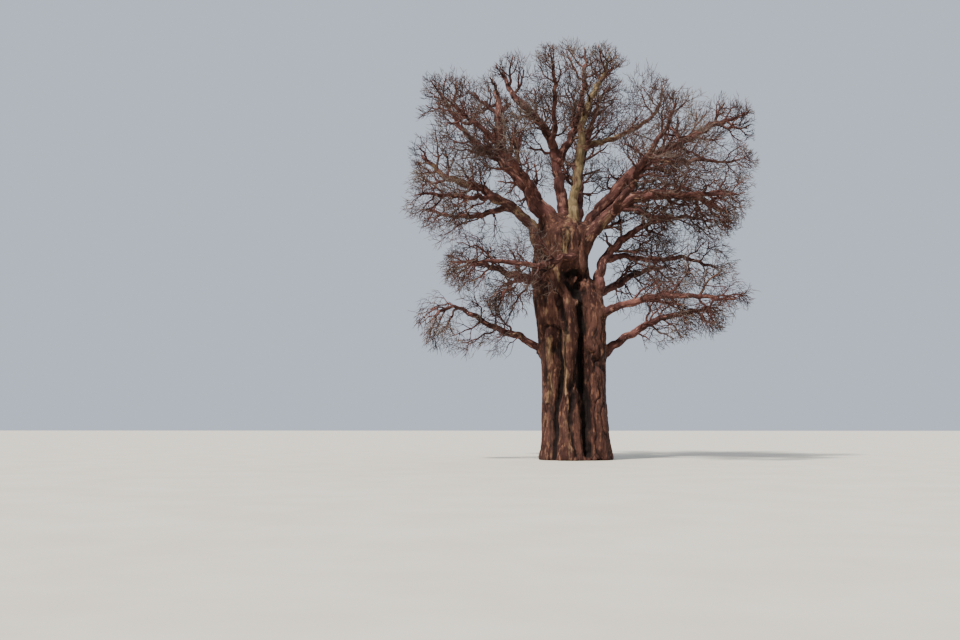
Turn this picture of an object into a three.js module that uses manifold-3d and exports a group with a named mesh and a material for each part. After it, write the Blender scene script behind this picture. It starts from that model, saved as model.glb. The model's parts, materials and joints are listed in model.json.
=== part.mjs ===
// A bare baobab tree: a stout fluted trunk, its main boughs, and the masses of twigs that close
// the crown. Millimetres, +Z up. The origin is the middle of the flat cut at ground level, and
// seen along +Y the tree has +X on its right. Headings are in degrees, anticlockwise from +X.
import * as THREE from 'three';
import Module from 'manifold-3d';

const wasm = await Module();
wasm.setup();

// Clearances
const GAP = 0.35; // between a limb or a stem and what carries it
const CELL_MARGIN = 30; // a twig stays this far from the border of its mass's space
const LIMB_MARGIN = 60; // and this far from every limb

// The trunk: height, middle to the right, half width and half depth at each ring
const TRUNK_SIDES = 44;
const TRUNK_RINGS = [
  [0, 0, 1780, 1860],
  [500, -10, 1680, 1760],
  [1200, -20, 1590, 1660],
  [2200, -30, 1530, 1580],
  [3300, -40, 1500, 1540],
  [4600, -80, 1560, 1540],
  [5800, -130, 1620, 1560],
  [6900, -190, 1630, 1520],
  [7800, -330, 1580, 1430],
  [8500, -600, 1440, 1360],
  [9300, -650, 1360, 1310],
  [10100, -610, 1350, 1290],
  [10700, -520, 1330, 1230],
  [11150, -450, 1130, 1030],
  [11450, -400, 700, 640],
  [11560, -380, 240, 220],
];
// Ribs and clefts: heading of the middle, swell as a share of the radius, half breadth in degrees
const TRUNK_FLUTES = [
  [-38, 0.07, 22],
  [-73, -0.17, 9],
  [-99, 0.07, 13],
  [-122, -0.09, 7],
  [-147, 0.06, 15],
  [-172, -0.06, 8],
  [142, 0.06, 16],
  [114, -0.12, 9],
  [86, 0.07, 16],
  [60, -0.1, 8],
  [33, 0.05, 15],
  [6, -0.05, 8],
];
const FLUTE_FULL = [2500, 8200]; // the flutes are deepest between these heights
const FLUTE_FADE = 3200; // and fade over this much above and below
const FLUTE_REST = 0.35; // to this share
const TRUNK_BULGE = 1.1; // the ribs stay within this share of the widths above

// The boughs: where each leaves its carrier (a point in the trunk, or a share of the way along
// another bough), heading at its start and end, rise at its start, middle and end, length, and
// radius at its base and tip. Its mass of twigs fills a ball of the given reach, whose middle
// drifts from the bough's tip by three distances, and bends its twigs up or down by its lift.
const BOUGHS = {
  left_leader: {
    seat: [-700, -100, 10700], heading: [184, 190], rise: [58, 56, 92], length: 6300,
    radius: [450, 240], mass: { reach: 2100, drift: [-600, 1050, 1100], lift: 0.15 },
  },
  centre_left: {
    seat: [-300, 150, 10800], heading: [180, 176], rise: [86, 76, 42], length: 7200,
    radius: [300, 190], mass: { reach: 1950, drift: [0, 200, 950], lift: 0.2 },
  },
  centre: {
    seat: [60, -350, 10600], heading: [0, 5], rise: [92, 84, 60], length: 7350,
    radius: [250, 150], mass: { reach: 1850, drift: [250, -150, 500], lift: 0.2 },
  },
  right_high: {
    seat: [150, 60, 9900], heading: [0, 3], rise: [78, 38, 33], length: 8900,
    radius: [360, 170], mass: { reach: 2000, drift: [600, 0, -50], lift: 0.15 },
  },
  right_arm: {
    seat: [180, -330, 9900], heading: [-5, 0], rise: [60, 28, -10], length: 5950,
    radius: [370, 210], mass: { reach: 2000, drift: [1000, 100, -500], lift: 0 },
  },
  left_arm: {
    seat: [-1450, 0, 9300], heading: [180, 176], rise: [78, 46, 12], length: 6300,
    radius: [290, 180], mass: { reach: 2050, drift: [-700, -100, 900], lift: 0.1 },
  },
  back_left: {
    seat: [-750, 500, 10400], heading: [126, 116], rise: [62, 45, 50], length: 6200,
    radius: [330, 180], mass: { reach: 2400, drift: [-600, 900, 700], lift: 0.15 },
  },
  back_centre: {
    seat: [0, 550, 10450], heading: [84, 92], rise: [64, 46, 44], length: 6400,
    radius: [330, 180], mass: { reach: 2300, drift: [100, 900, 600], lift: 0.1 },
  },
  back_right: {
    seat: [200, 280, 10200], heading: [50, 46], rise: [58, 40, 44], length: 6500,
    radius: [310, 170], mass: { reach: 2400, drift: [900, 700, 500], lift: 0.1 },
  },
  right_stem: {
    seat: [940, 0, 6500], heading: [0, 16], rise: [80, 73, 22], length: 5100,
    radius: [310, 170], mass: { reach: 1600, drift: [900, 300, 300], lift: 0 },
  },
  left_mid: {
    seat: [100, -650, 9450], heading: [252, 178], rise: [2, -14, 14], length: 4000,
    radius: [165, 115], mass: { reach: 2050, drift: [-1200, -500, 100], lift: -0.05 },
  },
  left_low: {
    seat: [-1250, -250, 4650], heading: [188, 196], rise: [66, 20, 36], length: 4500,
    radius: [200, 120], mass: { reach: 2000, drift: [-700, -200, -200], lift: -0.3 },
  },
  right_low: {
    seat: [950, 100, 4500], heading: [4, 18], rise: [50, 32, 10], length: 4700,
    radius: [230, 140], mass: { reach: 1800, drift: [1000, 300, 150], lift: -0.1 },
  },
  right_mid: {
    seat: [900, -400, 6350], heading: [-38, -24], rise: [44, 8, -6], length: 4900,
    radius: [205, 130], mass: { reach: 2000, drift: [900, -500, 200], lift: -0.1 },
  },
  back_low_left: {
    seat: [-850, 700, 7500], heading: [142, 138], rise: [44, 25, 22], length: 5000,
    radius: [240, 140], mass: { reach: 2300, drift: [-900, 800, 200], lift: -0.1 },
  },
  back_low_right: {
    seat: [500, 750, 7200], heading: [54, 48], rise: [46, 24, 20], length: 5200,
    radius: [250, 140], mass: { reach: 2300, drift: [900, 900, 200], lift: -0.1 },
  },
  left_far: {
    on: 'left_leader', share: 0.52, heading: [200, 194], rise: [34, 40, 52], length: 4400,
    radius: [200, 120], mass: { reach: 1850, drift: [-400, -100, 500], lift: 0.1 },
  },
  left_front: {
    on: 'left_leader', share: 0.36, heading: [262, 220], rise: [32, 26, 32], length: 4500,
    radius: [220, 130], mass: { reach: 2250, drift: [-500, -1100, 300], lift: 0.1 },
  },
  centre_red: {
    on: 'centre_left', share: 0.5, heading: [10, 55], rise: [64, 64, 86], length: 4100,
    radius: [210, 135], mass: { reach: 2050, drift: [-450, 900, 1200], lift: 0.2 },
  },
  centre_front: {
    on: 'centre_left', share: 0.62, heading: [276, 272], rise: [24, 36, 46], length: 3000,
    radius: [150, 100], mass: { reach: 1850, drift: [-250, -900, 250], lift: 0.15 },
  },
  centre_right: {
    on: 'centre', share: 0.59, heading: [0, 12], rise: [36, 14, 50], length: 3400,
    radius: [140, 100], mass: { reach: 1800, drift: [-400, 0, 1700], lift: 0.2 },
  },
  right_long: {
    on: 'right_high', share: 0.64, heading: [-12, -4], rise: [6, -4, -8], length: 3100,
    radius: [110, 80], mass: { reach: 1450, drift: [750, -200, -50], lift: -0.05 },
  },
  right_front: {
    on: 'right_arm', share: 0.4, heading: [-62, -66], rise: [34, 26, 34], length: 4600,
    radius: [190, 120], mass: { reach: 2250, drift: [300, -1300, 200], lift: 0.1 },
  },
  right_front_low: {
    on: 'right_arm', share: 0.68, heading: [-50, -36], rise: [0, -12, 0], length: 2900,
    radius: [150, 105], mass: { reach: 1900, drift: [900, -700, -300], lift: -0.1 },
  },
  right_back: {
    on: 'right_arm', share: 0.52, heading: [52, 40], rise: [-4, 0, 8], length: 4600,
    radius: [170, 110], mass: { reach: 2000, drift: [800, 600, 100], lift: 0 },
  },
  back_high: {
    on: 'back_centre', share: 0.4, heading: [60, 50], rise: [76, 74, 66], length: 4900,
    radius: [200, 120], mass: { reach: 1950, drift: [800, 500, 800], lift: 0.2 },
  },
  left_front_low: {
    on: 'left_arm', share: 0.66, heading: [236, 222], rise: [2, -10, 0], length: 3000,
    radius: [150, 105], mass: { reach: 1800, drift: [-500, -900, -200], lift: -0.1 },
  },
  left_back: {
    on: 'left_arm', share: 0.52, heading: [136, 148], rise: [8, 0, 10], length: 3800,
    radius: [170, 110], mass: { reach: 2000, drift: [-300, 1000, 100], lift: 0 },
  },
  right_out: {
    on: 'right_stem', share: 0.62, heading: [24, 6], rise: [14, -2, 4], length: 3500,
    radius: [150, 105], mass: { reach: 1950, drift: [1100, 100, -100], lift: -0.05 },
  },
};
// One mass springs from the trunk itself
const TRUNK_TUFT = {
  seat: [-1600, -450, 8150], heading: 196, rise: 12, radius: 130,
  mass: { reach: 1500, drift: [-1400, -300, -400], lift: -0.3 },
};
const BOUGH_SIDES = 7;
const BOUGH_STEP = 800; // length of one straight stretch of a bough
const COLLAR = 0.45; // a bough is this much thicker where it leaves its carrier
const COLLAR_RUN = 1.6; // and loses that over this many radii
const WANDER = 7; // degrees that a bough strays from its smooth line
const WANDER_LEAST = 0.2; // share of that at its two ends
const SWINGS = 1.7; // times that it strays to and fro along its length
const DIPS = 1.3; // times that it strays up and down

// The twigs. Each is an axis that walks a few straight stretches and ends in a point, and throws
// side twigs from its joints by one rule. The first, the stem, grows on from the bough's tip.
const CROWN_HEART = [0, 0, 11000]; // twigs turn away from here
const STEM_REACH = 0.84; // length of the stem as a share of the way across its mass's space
const STRETCHES = [4, 3, 1]; // stretches of the stem, of its side twigs and of theirs
const SIDES = [2, 1]; // side twigs at each joint of the stem, and of its side twigs
const LENGTH_KEPT = 0.78; // length of a side twig as a share of its parent
const LENGTH_SPREAD = 0.3;
const LENGTH_FALL = 0.3; // a side twig near its parent's tip is shorter by up to this share
const SHORTER = [1, 0.72, 0.5]; // lengths that are tried until a twig fits
const TWIG_TAPER = 0.6; // what a twig loses of its radius before its last stretch
const RADIUS_KEPT = 0.5; // radius of a side twig as a share of its parent's there
const SIDE_TILT = 52; // degrees
const TILT_SPREAD = 0.4;
const KINK = 0.3; // how far a twig strays at a joint, as a share of its direction
const OUTWARD_PULL = 0.16;
const STEM_PULL = 0.45; // how much the stem turns to the middle of its mass's space
const GOLDEN_ANGLE = 2.39996;
const KEY_STEP = 16; // keeps the keys of one twig's side twigs apart from another's
const JOINT_STEP = 4; // and those at one joint from those at the next
const STEEP = 0.7; // a twig that rises more than this takes its rings from the X axis, not Z
const TWIG_SIDES = 3;
const SAMPLES = [0.4, 0.7, 1]; // places on a stretch where its clearance is measured
const SEED = 1499;
const DRAW = { swing: 1, dip: 2, tilt: 1, turn: 2, length: 3, fan: 5 }; // channels of the draws

const BARK = { trunk: 0x6a4a3c, red: 0x6e453a, pale: 0x857a58, twig: 0x86695c };
const PALE_BOUGHS = ['centre'];
const ROUGHNESS = { bark: 0.9, twig: 0.95 };

const radians = THREE.MathUtils.degToRad;

// A fraction that depends only on the whole numbers given, so each twig keeps its own
function chance(...keys) {
  let hash = SEED;
  for (const key of keys) {
    hash = Math.imul(hash ^ key, 0x9e3779b1);
    hash ^= hash >>> 15;
    hash = Math.imul(hash, 0x85ebca6b);
    hash ^= hash >>> 13;
  }
  return (hash >>> 0) / 2 ** 32;
}

// A closed skin over rings of points that run anticlockwise seen from the last ring. A last
// ring of one point is a tip. A ring of more than three points is capped round its middle.
function loft(rings) {
  const points = [];
  const faces = [];
  const starts = rings.map((ring) => {
    const start = points.length;
    points.push(...ring);
    return start;
  });
  for (let row = 0; row + 1 < rings.length; row += 1) {
    const sides = rings[row].length;
    const pointed = rings[row + 1].length === 1;
    for (let side = 0; side < sides; side += 1) {
      const next = (side + 1) % sides;
      const low = starts[row];
      const high = starts[row + 1];
      if (pointed) {
        faces.push(low + side, low + next, high);
      } else {
        faces.push(low + side, low + next, high + next, low + side, high + next, high + side);
      }
    }
  }
  const cap = (row, facesBack) => {
    const ring = rings[row];
    const start = starts[row];
    if (ring.length === 1) return;
    if (ring.length === 3) {
      faces.push(start, start + (facesBack ? 2 : 1), start + (facesBack ? 1 : 2));
      return;
    }
    const middle = points.length;
    points.push(ring.reduce((sum, p) => sum.add(p), new THREE.Vector3()).divideScalar(ring.length));
    for (let side = 0; side < ring.length; side += 1) {
      const next = (side + 1) % ring.length;
      faces.push(middle, start + (facesBack ? next : side), start + (facesBack ? side : next));
    }
  };
  cap(0, true);
  cap(rings.length - 1, false);
  const geometry = new THREE.BufferGeometry().setFromPoints(points);
  geometry.setIndex(faces);
  return geometry;
}

// A solid for joining and cutting, and back to a three.js geometry
function solidOf(geometry) {
  return new wasm.Manifold(new wasm.Mesh({
    numProp: 3,
    vertProperties: new Float32Array(geometry.attributes.position.array),
    triVerts: new Uint32Array(geometry.index.array),
  }));
}

function geometryOf(solid) {
  const mesh = solid.getMesh();
  const geometry = new THREE.BufferGeometry();
  geometry.setAttribute('position', new THREE.BufferAttribute(mesh.vertProperties, 3));
  geometry.setIndex(new THREE.BufferAttribute(mesh.triVerts, 1));
  geometry.computeVertexNormals();
  return geometry;
}

// The main body of a solid: scraps are dropped and sealed hollows filled
function mainBody(solid) {
  return solid.decompose().reduce((best, body) => (body.volume() > best.volume() ? body : best));
}

function pointingAt(heading, rise) {
  const level = Math.cos(radians(rise));
  return new THREE.Vector3(
    level * Math.cos(radians(heading)), level * Math.sin(radians(heading)), Math.sin(radians(rise)),
  );
}

// A direction well away from the one given, to turn rings and side twigs by
function helperFor(direction) {
  return Math.abs(direction.z) > STEEP ? new THREE.Vector3(1, 0, 0) : new THREE.Vector3(0, 0, 1);
}

// A ring of points round a middle, square to the direction of travel
function ringAt(middle, direction, sideways, radius, sides) {
  const across = new THREE.Vector3().crossVectors(sideways, direction).normalize();
  const along = new THREE.Vector3().crossVectors(direction, across);
  return Array.from({ length: sides }, (_, side) => {
    const angle = (2 * Math.PI * side) / sides;
    return middle.clone()
      .addScaledVector(across, radius * Math.cos(angle))
      .addScaledVector(along, radius * Math.sin(angle));
  });
}

// How far the flutes swell or pinch the trunk at a heading and height
function fluteAt(heading, height) {
  const below = (FLUTE_FULL[0] - height) / FLUTE_FADE;
  const above = (height - FLUTE_FULL[1]) / FLUTE_FADE;
  const fade = THREE.MathUtils.smoothstep(Math.max(below, above), 0, 1);
  const depth = 1 - (1 - FLUTE_REST) * fade;
  return TRUNK_FLUTES.reduce((sum, [middle, swell, breadth]) => {
    const away = THREE.MathUtils.euclideanModulo(heading - middle + 180, 360) - 180;
    return sum + depth * swell * Math.exp(-((away / breadth) ** 2));
  }, 1);
}

// The skin of the trunk, grown by an extra thickness all round and on top
function trunkGeometry(extra) {
  return loft(TRUNK_RINGS.map(([height, middle, halfWidth, halfDepth]) => (
    Array.from({ length: TRUNK_SIDES }, (_, side) => {
      const heading = (360 * side) / TRUNK_SIDES;
      const flute = fluteAt(heading, height);
      return new THREE.Vector3(
        middle + (halfWidth * flute + extra) * Math.cos(radians(heading)),
        (halfDepth * flute + extra) * Math.sin(radians(heading)),
        height + Math.min(height, extra),
      );
    })
  )));
}

// The curve through a start, middle and end value
function bend([start, middle, end], share) {
  return start * (1 - share) * (1 - 2 * share) + middle * 4 * share * (1 - share)
    + end * share * (2 * share - 1);
}

// A bough's centreline, walked from its seat in short straight stretches
function walkBough(spec, index, seat) {
  const count = Math.ceil(spec.length / BOUGH_STEP);
  const step = spec.length / count;
  const points = [seat];
  const directions = [];
  for (let stretch = 0; stretch < count; stretch += 1) {
    const share = (stretch + 0.5) / count;
    const stray = WANDER * Math.min(1, 4 * share * (1 - share) + WANDER_LEAST);
    const swing = 2 * Math.PI * (SWINGS * share + chance(index, DRAW.swing));
    const dip = 2 * Math.PI * (DIPS * share + chance(index, DRAW.dip));
    const heading = THREE.MathUtils.lerp(...spec.heading, share) + stray * Math.sin(swing);
    const direction = pointingAt(heading, bend(spec.rise, share) + stray * Math.sin(dip));
    directions.push(direction);
    points.push(points.at(-1).clone().addScaledVector(direction, step));
  }
  const tangents = points.map((_, place) => {
    const before = directions[Math.max(0, place - 1)];
    const after = directions[Math.min(count - 1, place)];
    return before.clone().add(after).normalize();
  });
  const radii = points.map((_, place) => {
    const away = place * step;
    const collar = COLLAR * Math.exp(-away / (COLLAR_RUN * spec.radius[0]));
    return THREE.MathUtils.lerp(...spec.radius, place / count) + spec.radius[0] * collar;
  });
  return { points, tangents, radii, sideways: pointingAt(spec.heading[0] + 90, 0) };
}

// The skin of a bough, grown by an extra thickness all round and at both ends
function boughGeometry({ points, tangents, radii, sideways }, extra) {
  const longer = points.map((point) => point.clone());
  longer[0].addScaledVector(tangents[0], -extra);
  longer.at(-1).addScaledVector(tangents.at(-1), extra);
  return loft(longer.map((point, place) => (
    ringAt(point, tangents[place], sideways, radii[place] + extra, BOUGH_SIDES)
  )));
}

// The place a share of the way along a bough's centreline
function placeOn({ points }, share) {
  const place = share * (points.length - 1);
  const before = Math.floor(place);
  return points[before].clone().lerp(points[before + 1], place - before);
}

// The space of a mass is a ball, cut back to the plane where it meets each neighbour's ball
function withinSpace(point, room, mass, masses) {
  if (point.distanceTo(mass.middle) > mass.reach - room) return false;
  return masses.every((other) => {
    if (other === mass) return true;
    const power = point.distanceToSquared(other.middle) - other.reach ** 2
      - point.distanceToSquared(mass.middle) + mass.reach ** 2;
    return power / (2 * other.middle.distanceTo(mass.middle)) > room;
  });
}

function distanceToStretch(point, start, end) {
  const run = end.clone().sub(start);
  const share = THREE.MathUtils.clamp(point.clone().sub(start).dot(run) / run.lengthSq(), 0, 1);
  return point.distanceTo(start.clone().addScaledVector(run, share));
}

function clearOfLimbs(point, room, limbs) {
  return limbs.every(({ points, radii }) => points.slice(1).every((end, place) => {
    const limb = Math.max(radii[place], radii[place + 1]);
    return distanceToStretch(point, points[place], end) > limb + room;
  }));
}

function clearOfTrunk(point, room) {
  if (point.z > TRUNK_RINGS.at(-1)[0]) return true;
  const [, middle, halfWidth, halfDepth] = TRUNK_RINGS.findLast(([height]) => height <= point.z);
  const across = (point.x - middle) / (halfWidth * TRUNK_BULGE + room);
  return Math.hypot(across, point.y / (halfDepth * TRUNK_BULGE + room)) > 1;
}

// A twig fits if its joints stay within its mass's space, and its stretches clear of the limbs.
// A stem's first stretch leaves its own limb, so it isn't tried.
function fits(twig, depth, mass, masses, limbs) {
  return twig.points.slice(1).every((joint, place) => {
    if (depth === 0 && place === 0) return true;
    const before = twig.points[place];
    return withinSpace(joint, twig.radius + CELL_MARGIN, mass, masses)
      && SAMPLES.every((share) => {
        const point = before.clone().lerp(joint, share);
        const room = twig.radius + LIMB_MARGIN;
        return clearOfLimbs(point, room, limbs) && clearOfTrunk(point, room);
      });
  });
}

// An axis walked from its start. It strays a little at each joint, turns away from the crown's
// heart, and rises or droops by its mass's lift. The stem also turns to its mass's middle.
function walkTwig(start, heading, length, radius, key, depth, mass) {
  const count = STRETCHES[depth];
  const heart = new THREE.Vector3(...CROWN_HEART);
  const points = [start];
  const directions = [heading];
  for (let joint = 0; joint < count; joint += 1) {
    const last = points.at(-1);
    points.push(last.clone().addScaledVector(directions.at(-1), length / count));
    const stray = [1, 2, 3].map((axis) => chance(mass.index, key, joint, axis) - 0.5);
    const next = directions.at(-1).clone()
      .addScaledVector(new THREE.Vector3(...stray), 2 * KINK)
      .addScaledVector(last.clone().sub(heart).normalize(), OUTWARD_PULL)
      .add(new THREE.Vector3(0, 0, mass.lift));
    if (depth === 0) next.addScaledVector(mass.drift, STEM_PULL);
    directions.push(next.normalize());
  }
  const radii = points.map((_, joint) => radius * (1 - (TWIG_TAPER * joint) / count));
  return { key, points, directions, radii, length, radius };
}

// One side twig of a parent. Its tilt, turn and length come from its key.
function sprout(parent, joint, side, depth, mass, shorter) {
  const key = (Math.imul(parent.key, KEY_STEP) + JOINT_STEP * joint + side) >>> 0;
  const draw = (channel) => chance(mass.index, key, channel);
  const along = joint / (parent.points.length - 1);
  const tilt = radians(SIDE_TILT) * (1 + TILT_SPREAD * (draw(DRAW.tilt) - 0.5));
  const fan = 2 * Math.PI * chance(mass.index, parent.key, DRAW.fan);
  const turn = GOLDEN_ANGLE * joint + Math.PI * side + fan + draw(DRAW.turn);
  const onward = parent.directions[joint];
  const across = onward.clone().cross(helperFor(onward)).normalize();
  const beside = onward.clone().cross(across);
  const heading = onward.clone().multiplyScalar(Math.cos(tilt))
    .addScaledVector(across, Math.sin(tilt) * Math.cos(turn))
    .addScaledVector(beside, Math.sin(tilt) * Math.sin(turn));
  const length = parent.length * LENGTH_KEPT * (1 - LENGTH_FALL * along)
    * (1 + LENGTH_SPREAD * (draw(DRAW.length) - 0.5)) * shorter;
  const radius = parent.radii[joint] * RADIUS_KEPT;
  return walkTwig(parent.points[joint], heading, length, radius, key, depth, mass);
}

// All the twigs of one mass, level by level. A twig that would leave the space or come near a
// limb is tried shorter, then skipped with all that would grow from it.
function growMass(mass, masses, limbs) {
  const { start, direction, radius } = mass.stem;
  const across = mass.reach + mass.middle.distanceTo(start);
  const stems = SHORTER.map((shorter) => (
    walkTwig(start, direction, across * STEM_REACH * shorter, radius, 1, 0, mass)
  ));
  let level = [stems.find((twig) => fits(twig, 0, mass, masses, limbs)) ?? stems.at(-1)];
  const twigs = [...level];
  SIDES.forEach((sides, depth) => {
    level = level.flatMap((parent) => parent.points.slice(1, -1).flatMap((_, place) => (
      Array.from({ length: sides }, (__, side) => (
        SHORTER.map((shorter) => sprout(parent, place + 1, side, depth + 1, mass, shorter))
          .find((twig) => fits(twig, depth + 1, mass, masses, limbs))
      )).filter(Boolean)
    )));
    twigs.push(...level);
  });
  return twigs;
}

function twigGeometry({ points, directions, radii }) {
  return loft(points.map((point, joint) => {
    if (joint === points.length - 1) return [point];
    const before = directions[Math.max(0, joint - 1)];
    const tangent = before.clone().add(directions[joint]).normalize();
    return ringAt(point, tangent, helperFor(directions[0]), radii[joint], TWIG_SIDES);
  }));
}

function massOf(name, spec, index, tip, stem) {
  const drift = new THREE.Vector3(...spec.drift);
  const middle = tip.clone().add(drift);
  return { name, index, middle, drift: drift.normalize(), reach: spec.reach, lift: spec.lift, stem };
}

function meshOf(name, geometry, colour, roughness) {
  const material = new THREE.MeshStandardMaterial({ color: colour, roughness, metalness: 0 });
  const mesh = new THREE.Mesh(geometry, material);
  mesh.name = name;
  return mesh;
}

// Trunk and boughs. Each bough is cut clear of the trunk and of the boughs before it.
const tree = new THREE.Group();
tree.name = 'baobab_tree';
tree.add(meshOf('trunk', geometryOf(solidOf(trunkGeometry(0))), BARK.trunk, ROUGHNESS.bark));

const cutters = [solidOf(trunkGeometry(GAP))];
const limbs = {};
Object.entries(BOUGHS).forEach(([name, spec], index) => {
  const seat = spec.on ? placeOn(limbs[spec.on], spec.share) : new THREE.Vector3(...spec.seat);
  const limb = walkBough(spec, index, seat);
  const whole = solidOf(boughGeometry(limb, 0));
  const clear = mainBody(cutters.reduce((rest, cutter) => rest.subtract(cutter), whole));
  const colour = PALE_BOUGHS.includes(name) ? BARK.pale : BARK.red;
  tree.add(meshOf(`bough_${name}`, geometryOf(clear), colour, ROUGHNESS.bark));
  cutters.push(solidOf(boughGeometry(limb, GAP)));
  limbs[name] = limb;
});

// Masses of twigs, one at each bough's tip and one on the trunk
const masses = Object.entries(BOUGHS).map(([name, spec], index) => {
  const tip = limbs[name].points.at(-1);
  const direction = limbs[name].tangents.at(-1);
  const start = tip.clone().addScaledVector(direction, GAP);
  return massOf(name, spec.mass, index, tip, { start, direction, radius: spec.radius[1] });
});
const tuftStart = new THREE.Vector3(...TRUNK_TUFT.seat);
masses.push(massOf('trunk_left', TRUNK_TUFT.mass, masses.length, tuftStart, {
  start: tuftStart,
  direction: pointingAt(TRUNK_TUFT.heading, TRUNK_TUFT.rise),
  radius: TRUNK_TUFT.radius,
}));
for (const mass of masses) {
  const twigs = growMass(mass, masses, Object.values(limbs));
  const fused = wasm.Manifold.union(twigs.map((twig) => solidOf(twigGeometry(twig))));
  const clear = mainBody(fused.subtract(cutters[0]));
  tree.add(meshOf(`twigs_${mass.name}`, geometryOf(clear), BARK.twig, ROUGHNESS.twig));
}

export default tree;
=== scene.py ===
# %% [markdown]
# A bare baobab stands with its leaves shed: a huge fluted trunk, boughs up to a metre thick,
# and a crown of crooked twigs. The imported solids give every limb's place and size, so the
# scene is built round them, in metres, +Z up, with the origin at the foot of the trunk.
# The box of the solids is kept now, and the twigs keep within it.

# %% Load the frame
import json
import math

import bpy
import numpy as np
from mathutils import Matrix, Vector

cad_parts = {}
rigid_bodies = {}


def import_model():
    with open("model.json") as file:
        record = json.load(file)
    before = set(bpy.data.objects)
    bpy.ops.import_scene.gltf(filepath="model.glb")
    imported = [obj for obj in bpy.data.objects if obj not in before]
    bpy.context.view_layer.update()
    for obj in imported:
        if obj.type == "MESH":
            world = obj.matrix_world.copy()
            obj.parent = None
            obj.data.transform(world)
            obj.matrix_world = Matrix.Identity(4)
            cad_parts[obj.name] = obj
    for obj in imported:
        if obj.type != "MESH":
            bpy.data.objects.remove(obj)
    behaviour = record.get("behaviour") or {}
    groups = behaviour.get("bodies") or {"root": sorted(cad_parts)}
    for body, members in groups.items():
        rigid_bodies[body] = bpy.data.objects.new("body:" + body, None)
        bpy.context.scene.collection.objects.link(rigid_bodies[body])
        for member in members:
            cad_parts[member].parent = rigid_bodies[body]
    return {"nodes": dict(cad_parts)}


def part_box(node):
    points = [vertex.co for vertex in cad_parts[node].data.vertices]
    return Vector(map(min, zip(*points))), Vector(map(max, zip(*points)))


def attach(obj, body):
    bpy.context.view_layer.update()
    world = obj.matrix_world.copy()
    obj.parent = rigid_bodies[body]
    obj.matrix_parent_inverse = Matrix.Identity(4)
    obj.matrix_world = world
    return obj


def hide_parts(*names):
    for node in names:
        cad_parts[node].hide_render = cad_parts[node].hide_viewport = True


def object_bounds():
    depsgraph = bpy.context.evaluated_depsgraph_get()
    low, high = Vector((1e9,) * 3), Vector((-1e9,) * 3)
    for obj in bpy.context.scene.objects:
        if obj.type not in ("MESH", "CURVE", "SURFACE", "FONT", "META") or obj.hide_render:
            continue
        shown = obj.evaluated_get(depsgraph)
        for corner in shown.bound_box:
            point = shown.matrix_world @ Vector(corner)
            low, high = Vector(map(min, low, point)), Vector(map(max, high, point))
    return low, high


for spare in list(bpy.data.objects):
    bpy.data.objects.remove(spare)
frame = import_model()
solid_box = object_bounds()
print(len(frame["nodes"]), "solids, box", solid_box)

# %% [markdown]
# Everything that looks grown is drawn by chance, and every draw has to come out the same on
# each run. A seeded generator would do, but its draws depend on their order. Here a draw
# depends only on the whole numbers that name it, such as a mass, a twig and a joint, so a
# twig keeps its shape whatever grows before it. The bark's noise uses the same draws.

# %% Chance and noise
SEED = 1499
WORD = np.uint64(0xFFFFFFFF)  # keeps the lowest 32 bits
MIXERS = ((0x9E3779B1, 15), (0x85EBCA6B, 13))  # odd constants, and how far each fold reaches
CELL_SHIFT = 2**20  # keeps the numbers of the noise's cells above 0
NOISE_TURN = np.array([(0, 0.8, 0.6), (-0.8, 0.36, -0.48), (-0.6, -0.48, 0.64)])


def chance(*keys):
    """A fraction from 0 to 1 for each set of whole numbers. Each number in turn is mixed into
    a 32-bit word by exclusive or, then multiplied by an odd constant and folded, twice."""
    word = np.uint64(SEED)
    for key in keys:
        word = word ^ np.asarray(key, np.uint64)
        for odd, fold in MIXERS:
            word = word * np.uint64(odd) & WORD
            word = word ^ (word >> np.uint64(fold))
    return word / 2.0**32


def mottle(places, seed):
    """Smooth noise from -1 to 1 with blotches about one unit wide. Places are turned first, so
    that its grid never lies along an axis. Each corner of the unit cell round a place has a
    random value, and the place blends the eight of them, each by the product of its smoothed
    nearness, 3t^2 - 2t^3, along the three axes."""
    places = places @ NOISE_TURN
    cell = np.floor(places)
    near = places - cell
    near = near * near * (3 - 2 * near)
    corner_key = (cell + CELL_SHIFT).astype(np.uint64)
    total = np.zeros(len(places))
    for corner in np.ndindex(2, 2, 2):
        share = np.prod(np.where(corner, near, 1 - near), axis=1)
        keys = corner_key + np.array(corner, np.uint64)
        total += share * chance(seed, keys[:, 0], keys[:, 1], keys[:, 2])
    return 2 * total - 1


def fractal(places, size, seed, octaves=3):
    """Mottle of blotches of the given size, plus the same at half the size and half the
    strength, and so on. A size of three numbers stretches it along the axes."""
    total = np.zeros(len(places))
    for octave in range(octaves):
        total += mottle(places / size * 2**octave, seed + octave) / 2**octave
    return total


def unit(vectors):
    """The same directions, each with a length of 1."""
    return vectors / np.linalg.norm(vectors, axis=-1, keepdims=True)


def pointing_at(heading, rise):
    """The direction with a heading, anticlockwise from +X, and a rise, both in degrees."""
    heading, rise = np.radians(heading), np.radians(rise)
    level = np.cos(rise)
    return np.stack([level * np.cos(heading), level * np.sin(heading), np.sin(rise)], axis=-1)


print("three draws:", chance(1, 2), chance(1, 3), chance(2, 2))

# %% [markdown]
# A bough is a limb thick enough to look at on its own. It leaves the trunk, or another bough,
# with a heading and a rise, sags or climbs along the way, and tapers. Tracing each one as a
# list of points would tie it to one view, so each is a few named sizes instead, the same as
# in the solids: seat or carrier, heading at both ends, rise at start, middle and end, length,
# and radius at both ends. The last three sizes belong to the twigs at its tip: the reach of
# the ball of air that they fill, how far its middle drifts from the tip, and their lift.

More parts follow.
